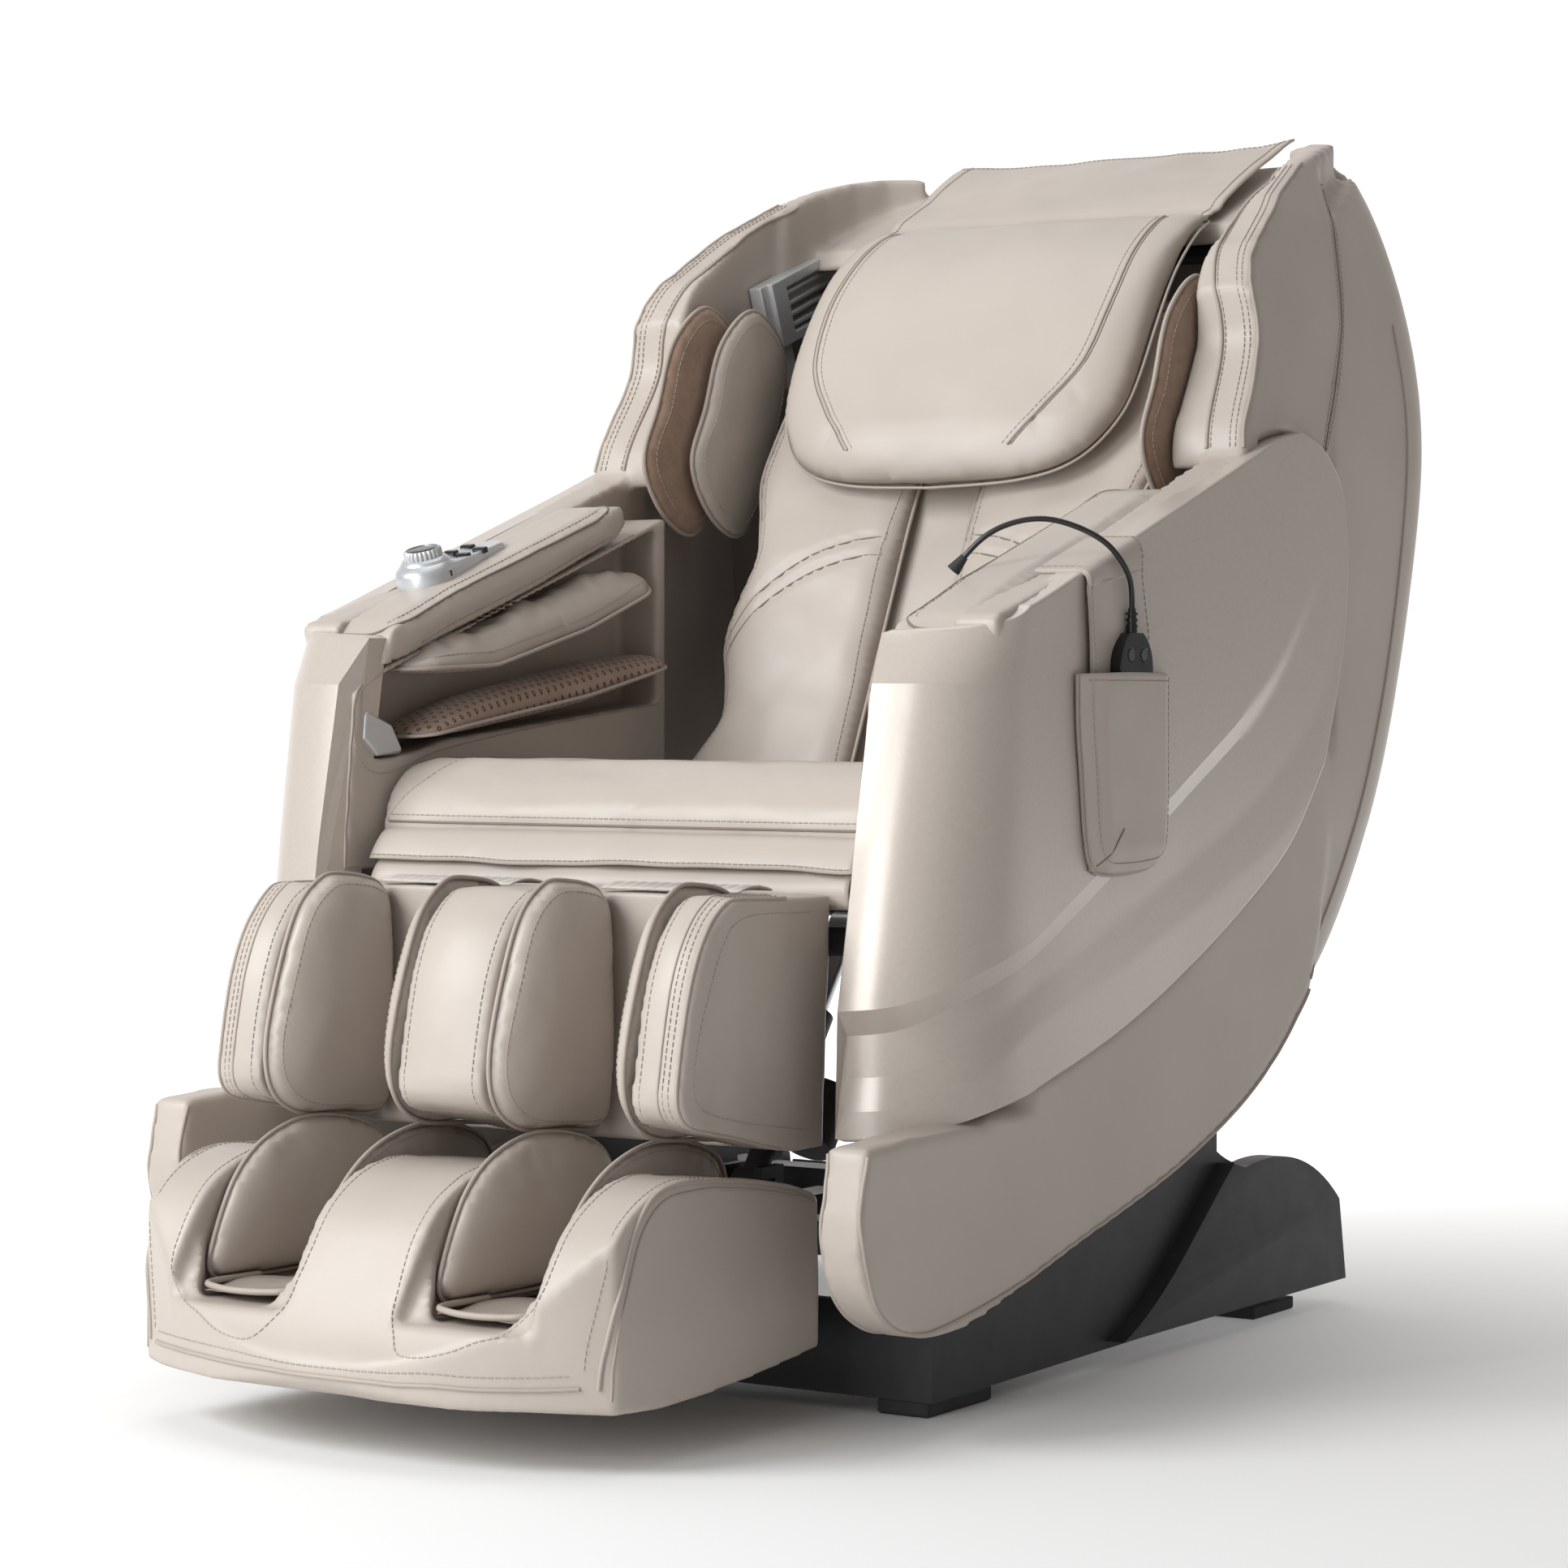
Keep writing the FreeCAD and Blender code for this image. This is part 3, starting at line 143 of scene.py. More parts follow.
# ---- materials -------------------------------------------------------------------------------
class Paint:
    """A small node builder round one Principled shader; textures use object coordinates."""

    def __init__(self, name, **sockets):
        self.mat = bpy.data.materials.new(name)
        self.mat.use_nodes = True
        self.tree = self.mat.node_tree
        self.shader = self.tree.nodes["Principled BSDF"]
        for key, value in sockets.items():
            self.shader.inputs[key.replace("_", " ")].default_value = value
        self.place = self.add("ShaderNodeTexCoord").outputs["Object"]
        self.last_bump = None

    def add(self, kind, **values):
        node = self.tree.nodes.new(kind)
        for key, value in values.items():
            if key in node.inputs:
                node.inputs[key].default_value = value
            else:
                setattr(node, key, value)
        return node

    def link(self, a, b):
        self.tree.links.new(a, b)

    def noise(self, scale, detail=3.0, rough=0.55, stretch=None):
        node = self.add("ShaderNodeTexNoise", Scale=scale, Detail=detail, Roughness=rough)
        source = self.place
        if stretch:
            turn = self.add("ShaderNodeMapping")
            turn.inputs["Scale"].default_value = stretch
            self.link(source, turn.inputs["Vector"])
            source = turn.outputs["Vector"]
        self.link(source, node.inputs["Vector"])
        return node.outputs["Fac"]

    def ramp(self, source, low, high, start=0.3, end=0.7):
        node = self.add("ShaderNodeValToRGB")
        node.color_ramp.elements[0].position, node.color_ramp.elements[1].position = start, end
        node.color_ramp.elements[0].color = (*low, 1)
        node.color_ramp.elements[1].color = (*high, 1)
        self.link(source, node.inputs["Fac"])
        return node.outputs["Color"]

    def spread(self, source, low, high):
        node = self.add("ShaderNodeMapRange")
        node.inputs["To Min"].default_value, node.inputs["To Max"].default_value = low, high
        self.link(source, node.inputs["Value"])
        return node.outputs["Result"]

    def bump(self, height, strength, distance):
        node = self.add("ShaderNodeBump", Strength=strength, Distance=distance)
        self.link(height, node.inputs["Height"])
        if self.last_bump:
            self.link(self.last_bump, node.inputs["Normal"])
        self.last_bump = node.outputs["Normal"]
        self.link(self.last_bump, self.shader.inputs["Normal"])

    def colour(self, source):
        self.link(source, self.shader.inputs["Base Color"])

    def rough(self, source):
        self.link(source, self.shader.inputs["Roughness"])


def tone(rgb, factor):
    return tuple(min(1.0, c * factor) for c in rgb)


def leather(name, rgb, rough=0.42, grain=1.0):
    p = Paint(name, Specular_IOR_Level=0.42, Coat_Weight=0.06, Coat_Roughness=0.35)
    p.colour(p.ramp(p.noise(5.0, 4.0), tone(rgb, 0.95), tone(rgb, 1.04)))
    p.rough(p.spread(p.noise(14.0, 5.0), rough - 0.06, rough + 0.07))
    p.bump(p.noise(22.0, 2.0), 0.22, 0.0022)
    cells = p.add("ShaderNodeTexVoronoi", Scale=720.0)
    p.link(p.place, cells.inputs["Vector"])
    p.bump(cells.outputs["Distance"], 0.10 * grain, 0.00035)
    return p.mat


def suede(name, rgb):
    p = Paint(name, Sheen_Weight=0.35, Sheen_Roughness=0.4, Specular_IOR_Level=0.15)
    p.colour(p.ramp(p.noise(60.0, 6.0, 0.7), tone(rgb, 0.82), tone(rgb, 1.14)))
    p.rough(p.spread(p.noise(90.0), 0.86, 0.98))
    p.bump(p.noise(1100.0, 2.0), 0.35, 0.0004)
    return p.mat


def dot_cloth(name, ground, dot):
    """Woven cloth printed with small staggered rings, laid out on the piece's UV map in metres."""
    p = Paint(name, Sheen_Weight=0.2, Sheen_Roughness=0.5, Specular_IOR_Level=0.2)
    uv = p.add("ShaderNodeUVMap", uv_map="cloth").outputs["UV"]
    split = p.add("ShaderNodeSeparateXYZ")
    p.link(uv, split.inputs["Vector"])

    def math_node(kind, a, b=None):
        node = p.add("ShaderNodeMath", operation=kind)
        for i, v in enumerate((a, b)):
            if v is None:
                continue
            if isinstance(v, (int, float)):
                node.inputs[i].default_value = v
            else:
                p.link(v, node.inputs[i])
        return node.outputs[0]
    pitch_u, pitch_v = 0.0118, 0.0078
    row = math_node("DIVIDE", split.outputs["Y"], pitch_v)
    row_id = math_node("FLOOR", row)
    odd = math_node("MULTIPLY", math_node("MODULO", math_node("ABSOLUTE", row_id), 2.0), 0.5)
    col = math_node("ADD", math_node("DIVIDE", split.outputs["X"], pitch_u), odd)
    du = math_node("MULTIPLY", math_node("SUBTRACT", math_node("FRACT", col), 0.5), pitch_u)
    dv = math_node("MULTIPLY", math_node("SUBTRACT", math_node("FRACT", row), 0.5), pitch_v)
    far = math_node("SQRT", math_node("ADD", math_node("MULTIPLY", du, du),
                                      math_node("MULTIPLY", dv, dv)))
    off_ring = math_node("ABSOLUTE", math_node("SUBTRACT", far, 0.00155))
    ring = p.add("ShaderNodeMapRange")
    for key, value in (("From Min", 0.0005), ("From Max", 0.0009), ("To Min", 1.0), ("To Max", 0.0)):
        ring.inputs[key].default_value = value
    p.link(off_ring, ring.inputs["Value"])
    mix = p.add("ShaderNodeMix", data_type="RGBA")
    p.link(ring.outputs["Result"], mix.inputs["Factor"])
    p.link(p.ramp(p.noise(30.0, 5.0), tone(ground, 0.88), tone(ground, 1.08)), mix.inputs["A"])
    mix.inputs["B"].default_value = (*dot, 1)
    p.colour(mix.outputs["Result"])
    p.rough(p.spread(p.noise(80.0), 0.8, 0.95))
    p.bump(p.noise(900.0, 2.0), 0.4, 0.0004)
    return p.mat


def satin(name, rgb, rough=0.30, coat=0.35, metal=0.15):
    """Painted moulding: fine flake in the colour and a slightly uneven gloss."""
    p = Paint(name, Metallic=metal, Specular_IOR_Level=0.5, Coat_Weight=coat, Coat_Roughness=0.16)
    p.colour(p.ramp(p.noise(240.0, 2.0), tone(rgb, 0.975), tone(rgb, 1.025)))
    p.rough(p.spread(p.noise(9.0, 4.0), rough - 0.03, rough + 0.04))
    p.bump(p.noise(160.0, 2.0), 0.03, 0.0003)
    return p.mat


def plain(name, rgb, rough, metal=0.0, grain=300.0, depth=0.0002, strength=0.3, spread=0.08, vary=0.12):
    p = Paint(name, Metallic=metal)
    p.colour(p.ramp(p.noise(18.0, 5.0), tone(rgb, 1 - vary), tone(rgb, 1 + vary)))
    p.rough(p.spread(p.noise(35.0, 4.0), max(0.02, rough - spread), rough + spread))
    p.bump(p.noise(grain, 3.0), strength, depth)
    return p.mat


def brushed(name, rgb, rough):
    p = Paint(name, Metallic=1.0)
    p.colour(p.ramp(p.noise(40.0, 5.0, 0.6, (1, 14, 14)), tone(rgb, 0.86), tone(rgb, 1.1)))
    p.rough(p.spread(p.noise(60.0, 4.0, 0.6, (0.5, 20, 20)), rough - 0.08, rough + 0.1))
    p.bump(p.noise(300.0, 3.0, 0.6, (0.2, 12, 12)), 0.2, 0.0001)
    return p.mat


M = {
    "leather": leather("leather", (0.455, 0.398, 0.352)),
    "leather_seam": leather("leather_seam", (0.395, 0.338, 0.295), 0.5),
    # The dark brown below is for the thin lines laid along seams and grooves: painted shade in the seam
    # crevices.
    "leather_dark": leather("leather_dark", (0.200, 0.165, 0.140), 0.6),
    "airbag": leather("airbag_leather", (0.450, 0.393, 0.348), 0.36),
    "thread": plain("thread", (0.400, 0.345, 0.300), 0.75, grain=2500.0, strength=0.5),
    "vent": plain("vent_silver", (0.60, 0.61, 0.62), 0.32, metal=0.35, grain=900.0, strength=0.1),
    "suede": suede("suede", (0.300, 0.205, 0.150)),
    "dot": dot_cloth("dot_cloth", (0.330, 0.235, 0.180), (0.075, 0.035, 0.025)),
    "elastic": plain("elastic", (0.560, 0.510, 0.470), 0.85, grain=900.0, strength=0.8, depth=0.0006),
    "panel": satin("panel_paint", (0.500, 0.438, 0.388)),
    "base": plain("base_plastic", (0.022, 0.022, 0.024), 0.52, grain=1400.0, strength=0.25, vary=0.18),
    "frame": plain("frame_steel", (0.045, 0.045, 0.05), 0.45, metal=0.3, grain=900.0),
    "steel": brushed("bare_steel", (0.55, 0.55, 0.57), 0.32),
    "silver": plain("silver_paint", (0.56, 0.575, 0.595), 0.34, metal=0.55, grain=2400.0,
                    depth=0.00004, strength=0.1, spread=0.03, vary=0.03),
    "grille_dark": plain("grille_shadow", (0.06, 0.06, 0.065), 0.5, grain=700.0),
    "gloss": plain("gloss_black", (0.010, 0.010, 0.012), 0.10, grain=60.0, depth=0.0001,
                   strength=0.05, spread=0.03, vary=0.2),
    "jacket": plain("cord_jacket", (0.012, 0.012, 0.014), 0.30, grain=900.0, strength=0.15),
    "rubber": plain("rubber", (0.022, 0.022, 0.022), 0.72, grain=1200.0, strength=0.35),
    "roller": plain("roller_plastic", (0.50, 0.45, 0.38), 0.5, grain=600.0),
    "case": plain("case_plastic", (0.05, 0.05, 0.052), 0.55, grain=1000.0, strength=0.35),
}

# ---- the handset's cord ----------------------------------------------------------------------
CORD = [(0.284, -0.172, 0.750), (0.297, -0.168, 0.766), (0.321, -0.158, 0.780), (0.350, -0.146, 0.785),
        (0.377, -0.133, 0.777), (0.400, -0.121, 0.763), (0.409, -0.108, 0.746), (0.411, -0.096, 0.731),
        (0.4088, -0.088, 0.718), (0.4088, -0.088, 0.704)]


def make_cord():
    data = bpy.data.curves.new("handset_cord_run", "CURVE")
    data.dimensions = "3D"
    data.bevel_depth, data.bevel_resolution, data.resolution_u = 0.0026, 4, 12
    data.use_fill_caps = True
    spline = data.splines.new("NURBS")
    spline.points.add(len(CORD) - 1)
    for point, spot in zip(spline.points, CORD):
        point.co = (*at(*spot), 1)
    spline.order_u = 3
    spline.use_endpoint_u = True
    data.materials.append(M["jacket"])
    run = bpy.data.objects.new("handset_cord_run", data)
    SCENE.collection.objects.link(run)
    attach(run, "cradle")
    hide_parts("handset_cord")
    tuple(at(*CORD[0]))


make_camera()
make_cord()
make_studio()


# ---- mesh helpers ----------------------------------------------------------------------------
def add_mesh(name, verts, faces, mats, body="cradle", slot="leather", replaces=(), smooth=True, sharp=None):
    data = bpy.data.meshes.new(name)
    data.from_pydata([tuple(v) for v in verts], [], [tuple(f) for f in faces])
    data.validate()
    return add_object(name, data, mats, body, slot, replaces, smooth, sharp)


def add_object(name, data, mats, body="cradle", slot="leather", replaces=(), smooth=True, sharp=None):
    for m in ([mats] if isinstance(mats, str) else mats):
        data.materials.append(M[m])
    if smooth:
        data.shade_smooth()
        if sharp:
            data.set_sharp_from_angle(angle=math.radians(sharp))
    obj = bpy.data.objects.new(name, data)
    SCENE.collection.objects.link(obj)
    if body:
        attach(obj, body)
    if replaces:
        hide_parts(*replaces)
    return obj


def cad_copy(names):
    """The meshes of some CAD nodes as one bmesh with shared corners."""
    bm = bmesh.new()
    for n in names:
        bm.from_mesh(NODES[n].data)
    bmesh.ops.remove_doubles(bm, verts=bm.verts, dist=1e-6)
    return bm


def evaluated(obj):
    """The mesh of an object with its modifiers applied."""
    graph = bpy.context.evaluated_depsgraph_get()
    return bpy.data.meshes.new_from_object(obj.evaluated_get(graph))


def coords(data):
    co = np.zeros(len(data.vertices) * 3)
    data.vertices.foreach_get("co", co)
    return co.reshape(-1, 3)


def set_coords(data, co):
    data.vertices.foreach_set("co", np.asarray(co, float).ravel())
    data.update()


def edge_table(data):
    e = np.zeros(len(data.edges) * 2, int)
    data.edges.foreach_get("vertices", e)
    return e.reshape(-1, 2)


def relax(data, rounds, keep=None, factor=0.5):
    """Even out a mesh; keep is a 0 to 1 weight per point of how far it may move."""
    co, e = coords(data), edge_table(data)
    degree = np.bincount(e.ravel(), minlength=len(co)).clip(1)[:, None]
    move = factor if keep is None else factor * keep[:, None]
    for i in range(rounds):
        total = np.zeros_like(co)
        np.add.at(total, e[:, 0], co[e[:, 1]])
        np.add.at(total, e[:, 1], co[e[:, 0]])
        sway = total / degree - co
        co = co + sway * move * (1.0 if i % 2 == 0 else -0.92)
    set_coords(data, co)


def remeshed(names, voxel, rounds, extra=None):
    """One continuous skin round some CAD nodes, with softened edges."""
    bm = cad_copy(names)
    if extra:
        extra(bm)
    data = bpy.data.meshes.new("skin")
    bm.to_mesh(data)
    bm.free()
    tmp = bpy.data.objects.new("skin", data)
    SCENE.collection.objects.link(tmp)
    mod = tmp.modifiers.new("remesh", "REMESH")
    mod.mode, mod.voxel_size, mod.adaptivity = "VOXEL", voxel, 0.0
    done = evaluated(tmp)
    bpy.data.objects.remove(tmp)
    relax(done, rounds)
    done.materials.clear()
    return done


def ridge(bm, path, thick, drop):
    """Add an upright wall along a path of top points given about the datum."""
    spots = [at(*p) for p in path]
    rings = []
    for k, p in enumerate(spots):
        run = spots[min(k + 1, len(spots) - 1)] - spots[max(k - 1, 0)]
        out = Vector((run.y, -run.x, 0)).normalized() * (thick / 2)
        low = Vector((0, 0, -drop))
        rings.append([bm.verts.new(q) for q in (p - out, p + out, p + out + low, p - out + low)])
    for a, b in zip(rings, rings[1:]):
        for i in range(4):
            j = (i + 1) % 4
            bm.faces.new((a[i], a[j], b[j], b[i]))
    bm.faces.new(rings[0][::-1])
    bm.faces.new(rings[-1])


def yz_prism(bm, outline, x0, x1):
    """Add a closed prism on a Y-Z outline given about the datum."""
    rings = [[bm.verts.new(at(x, *p)) for p in outline] for x in (x0, x1)]
    n = len(outline)
    for k in range(n):
        j = (k + 1) % n
        bm.faces.new((rings[0][k], rings[0][j], rings[1][j], rings[1][k]))
    bm.faces.new(rings[0][::-1])
    bm.faces.new(rings[1])


def normals(data):
    n = np.zeros(len(data.vertices) * 3)
    data.vertices.foreach_get("normal", n)
    return n.reshape(-1, 3)


def tree_of(data):
    return BVHTree.FromPolygons([v.co for v in data.vertices], [p.vertices for p in data.polygons])


def fine(points, step=0.004, closed=False):
    """Points close together on a smooth curve through the given ones."""
    pts = [Vector(p) for p in points]
    n = len(pts)
    out = []
    spans = n if closed else n - 1
    for i in range(spans):
        if closed:
            a, b, c, d = (pts[(i + k - 1) % n] for k in range(4))
        else:
            b, c = pts[i], pts[i + 1]
            a = pts[i - 1] if i else b * 2 - c
            d = pts[i + 2] if i + 2 < n else c * 2 - b
        count = max(2, int((c - b).length / step))
        for k in range(count):
            t = k / count
            out.append(0.5 * ((2 * b) + (c - a) * t + (2 * a - 5 * b + 4 * c - d) * t * t
                              + (3 * b - a - 3 * c + d) * t ** 3))
    if not closed:
        out.append(pts[-1].copy())
    return out


def straight(points, step=0.004, closed=False):
    """Points close together on the straight runs between the given ones."""
    pts = [Vector(p) for p in points]
    if closed:
        pts.append(pts[0])
    out = []
    for b, c in zip(pts, pts[1:]):
        count = max(1, int((c - b).length / step))
        out += [b.lerp(c, k / count) for k in range(count)]
    if not closed:
        out.append(pts[-1].copy())
    return out


def smooth_line(points, rounds=3, closed=False):
    pts = [p.copy() for p in points]
    for _ in range(rounds):
        new = [p.copy() for p in pts]
        n = len(pts)
        for i in range(n):
            if closed or 0 < i < n - 1:
                new[i] = (pts[i - 1] + pts[i] * 2 + pts[(i + 1) % n]) / 4
        pts = new
    return pts


def laid(points, tree, lift=0.0, rounds=3, closed=False):
    """A line dropped onto the nearest surface and lifted off it."""
    out = []
    for p in points:
        spot, normal, _, _ = tree.find_nearest(p)
        out.append(spot + normal * lift)
    return smooth_line(out, rounds, closed)


def cast(points, tree, direction, lift=0.0, rounds=3, closed=False):
    """A line thrown onto a surface along one direction, lifted back towards where it came from."""
    d = Vector(direction).normalized()
    out = []
    for p in points:
        hit = tree.ray_cast(p - d * 0.25, d, 0.6)
        if hit[0] is not None:
            out.append(hit[0] + hit[1] * (lift if hit[1].dot(d) < 0 else -lift))
    return smooth_line(out, rounds, closed)


def curve_object(name, lines, radius, mat, body, closed=(), sides=2):
    data = bpy.data.curves.new(name, "CURVE")
    data.dimensions = "3D"
    data.bevel_depth, data.bevel_resolution, data.use_fill_caps = radius, sides, True
    for i, line in enumerate(lines):
        if len(line) < 2:
            continue
        spline = data.splines.new("POLY")
        spline.points.add(len(line) - 1)
        spline.points.foreach_set("co", np.array([(*p, 1) for p in line]).ravel())
        spline.use_cyclic_u = i in closed if isinstance(closed, (set, tuple, list)) else bool(closed)
        spline.use_smooth = True
    data.materials.append(M[mat])
    obj = bpy.data.objects.new(name, data)
    SCENE.collection.objects.link(obj)
    if body:
        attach(obj, body)
    return obj


class Trim:
    """Piping and stitch rows collected per body, made into objects at the end."""
    pipes, rows = {}, {}

    @classmethod
    def pipe(cls, line, body="cradle", radius=0.0017, closed=False, mat="leather_seam"):
        cls.pipes.setdefault((body, radius, mat), []).append((line, closed))

    @classmethod
    def row(cls, line, body="cradle", pitch=0.0062, dash=0.0042, closed=False):
        """Cut a dense line into thread dashes."""
        if len(line) < 2:
            return
        pts = np.array([tuple(p) for p in (line + [line[0]] if closed else line)])
        run = np.r_[0.0, np.cumsum(np.linalg.norm(np.diff(pts, axis=0), axis=1))]
        for start in np.arange(0.001, run[-1] - dash, pitch):
            ends = [Vector([float(np.interp(d, run, pts[:, k])) for k in range(3)])
                    for d in (start, start + dash)]
            cls.rows.setdefault(body, []).append(ends)

    @classmethod
    def make(cls):
        for i, ((body, radius, mat), lines) in enumerate(cls.pipes.items()):
            curve_object("piping_%s_%d" % (body, i), [line for line, _ in lines], radius, mat, body,
                         closed={k for k, (_, c) in enumerate(lines) if c})
        for body, dashes in cls.rows.items():
            curve_object("stitching_%s" % body, dashes, 0.00055, "thread", body, sides=0)


def cloth_puff(obj, pressure=4.0, frames=18, cap=0.01, hold=None, shrink=0.0, stiff=12.0):
    """Blow a closed skin up as cloth and limit how far each point may go."""
    start = coords(obj.data)
    cloth = obj.modifiers.new("cloth", "CLOTH")
    s = cloth.settings
    s.use_pressure, s.uniform_pressure_force = True, pressure
    s.quality, s.mass, s.air_damping = 4, 0.3, 2.0
    s.tension_stiffness = s.compression_stiffness = stiff
    s.shear_stiffness, s.bending_stiffness = 5.0, 0.4
    s.shrink_min = shrink
    s.effector_weights.gravity = 0
    cloth.point_cache.frame_start, cloth.point_cache.frame_end = 1, frames
    if hold is not None:
        group = obj.vertex_groups.new(name="hold")
        for i in np.nonzero(hold)[0]:
            group.add([int(i)], float(hold[i]), "REPLACE")
        s.vertex_group_mass = "hold"
    for f in range(1, frames + 1):
        SCENE.frame_set(f)
    done = evaluated(obj)
    moved = coords(done) - start
    far = np.linalg.norm(moved, axis=1)
    moved *= np.minimum(1.0, cap / far.clip(1e-9))[:, None]
    obj.modifiers.clear()
    obj.vertex_groups.clear()
    set_coords(obj.data, start + moved)
    bpy.data.meshes.remove(done)
    SCENE.frame_set(1)


def crease(points_co, scale, depth, seed, stretch=(1, 1, 1)):
    """Soft folds: a signed offset for each point."""
    out = np.zeros(len(points_co))
    shift = Vector((seed, seed * 2.3, 0))
    for i, c in enumerate(points_co):
        p = Vector((c[0] * stretch[0], c[1] * stretch[1], c[2] * stretch[2])) * scale + shift
        out[i] = noise.noise(p) + 0.5 * noise.noise(p * 2.1)
    return out * depth


def gathers(tree, ring, mid, body, pitch=4):
    """Short puckers that run in from a gathered seam."""
    n = len(ring)
    for k in range(0, n, pitch):
        p = ring[k]
        reach = 0.010 + 0.008 * (0.5 + 0.5 * noise.noise(Vector((k * 0.37, 1.7, 4.1))))
        d = (mid - p).normalized()
        spots = [p + d * reach * t for t in (0.15, 0.4, 0.7, 1.0)]
        line = laid(spots, tree, -0.0004, 1)
        if len(line) > 1 and (line[-1] - line[0]).length > 0.004:
            Trim.pipe(line, body, 0.0006)


def outward(obj):
    """Turn a closed skin's faces outward without changing their order."""
    data = obj.data
    v = coords(data)
    volume = 0.0
    for poly in data.polygons:
        a, b, c = (v[i] for i in poly.vertices[:3])
        volume += np.dot(a, np.cross(b, c))
    if volume < 0:
        data.flip_normals()


def within(ring, pts):
    """Which points lie inside a closed outline."""
    inside = np.zeros(len(pts), bool)
    for (x0, y0), (x1, y1) in zip(ring, np.roll(ring, -1, 0)):
        if y0 == y1:
            continue
        cross = ((y0 > pts[:, 1]) != (y1 > pts[:, 1]))
        inside ^= cross & (pts[:, 0] < (x1 - x0) * (pts[:, 1] - y0) / (y1 - y0) + x0)
    return inside


def gap_to(line, pts, closed=False):
    """Each point's distance to a line on the flat pattern."""
    line = np.array(line)
    best = np.full(len(pts), 1e9)
    ends = np.roll(line, -1, 0) if closed else line[1:]
    for q0, q1 in zip(line, ends):
        d = q1 - q0
        t = np.clip(((pts - q0) @ d) / max(d @ d, 1e-12), 0, 1)
        best = np.minimum(best, np.linalg.norm(pts - (q0 + t[:, None] * d), axis=1))
    return best


def staggered(us, vs, step):
    """Grid points with every second row shifted by half a step."""
    return np.array([(u + (step / 2 if j % 2 else 0), v) for j, v in enumerate(vs) for u in us])


def cushion(name, outline, place, front, back, mats, body="cradle", slot="leather", replaces=(),
            step=0.006, rim=0.022, folds=None, uv=False, split=None):
    """A sewn pad from a flat outline: two crowned faces that meet in a seam.

    place(u, v, h) puts a point of the flat pattern, lifted by h, in the chair. front and back are
    the crowns of the two faces. folds is (scale, depth, seed). split gives the back face a second
    material."""
    line = [Vector((p[0], p[1])) for p in outline]
    ring = []
    for a, b in zip(line, line[1:] + line[:1]):
        count = max(1, round((b - a).length / step))
        ring += [a.lerp(b, k / count) for k in range(count)]
    ring_np = np.array([(p.x, p.y) for p in ring])
    lo, hi = ring_np.min(0), ring_np.max(0)
    grid = staggered(np.arange(lo[0], hi[0], step), np.arange(lo[1], hi[1], step * 0.87), step)
    grid = grid[within(ring_np, grid)]
    gap = gap_to(ring_np, grid, True)
    grid, gap = grid[gap > 0.55 * step], gap[gap > 0.55 * step]
    flat = [Vector(p) for p in ring_np] + [Vector(p) for p in grid]
    n_ring = len(ring_np)
    edges = [(i, (i + 1) % n_ring) for i in range(n_ring)]
    out = delaunay_2d_cdt(flat, edges, [], 1, 1e-7)
    pts2, tris = out[0], out[2]
    pts2 = np.array([(p.x, p.y) for p in pts2])
    d_all = gap_to(ring_np, pts2, True)
    on_rim = d_all < 1e-5
    t = np.clip(d_all / rim, 0, 1)
    bulge = np.sqrt(np.clip(1 - (1 - t) ** 2, 0, 1))
    centre = pts2.mean(0)
    span = np.abs(pts2 - centre).max(0)
    dome = 1 - 0.28 * (((pts2 - centre) / span) ** 2).sum(1).clip(0, 1.4)
    verts, faces = [], []
    index_back = {}
    f_h = (front(pts2) if callable(front) else front) * bulge * dome
    b_h = (back(pts2) if callable(back) else back) * bulge * dome
    if folds:
        scale, depth, seed = folds
        wave = crease(np.c_[pts2, np.zeros(len(pts2))], scale, depth, seed)
        f_h = f_h + wave * np.clip(d_all / 0.03, 0, 1)
    for (u, v), h in zip(pts2, f_h):
        verts.append(place(u, v, h))
    for i, ((u, v), h) in enumerate(zip(pts2, b_h)):
        if on_rim[i]:
            index_back[i] = i
        else:
            index_back[i] = len(verts)
            verts.append(place(u, v, -h))
    for tri in tris:
        faces.append(tuple(tri))
    n_front = len(faces)
    for tri in tris:
        faces.append(tuple(index_back[i] for i in reversed(tri)))
    obj = add_mesh(name, verts, faces, mats, body, slot, replaces)
    outward(obj)
    if split:
        which = np.zeros(len(obj.data.polygons), int)
        which[n_front:] = 1
        obj.data.polygons.foreach_set("material_index", which)
    if uv:
        layer = obj.data.uv_layers.new(name="cloth")
        flat_uv = {}
        for i, (u, v) in enumerate(pts2):
            flat_uv[i] = (u, v)
            flat_uv[index_back[i]] = (u, v)
        loops = np.zeros(len(obj.data.loops), int)
        obj.data.loops.foreach_get("vertex_index", loops)
        layer.data.foreach_set("uv", np.array([flat_uv[i] for i in loops]).ravel())
    obj["rim"] = [float(x) for p in ring for x in place(p.x, p.y, 0.0)]
    return obj


def rim_of(obj):
    flat = list(obj["rim"])
    del obj["rim"]
    return [Vector(flat[i:i + 3]) for i in range(0, len(flat), 3)]


def rounded(points, radius):
    """A closed outline with its corners cut to arcs."""
    pts = [Vector(p) for p in points]
    out = []
    n = len(pts)
    for i in range(n):
        a, b, c = pts[i - 1], pts[i], pts[(i + 1) % n]
        r = radius[i] if isinstance(radius, (list, tuple)) else radius
        back, ahead = (a - b), (c - b)
        cut = min(r, back.length * 0.48, ahead.length * 0.48)
        p0, p1 = b + back.normalized() * cut, b + ahead.normalized() * cut
        for k in range(9):
            t = k / 8
            out.append(p0 * (1 - t) ** 2 + b * 2 * t * (1 - t) + p1 * t * t)
    return out


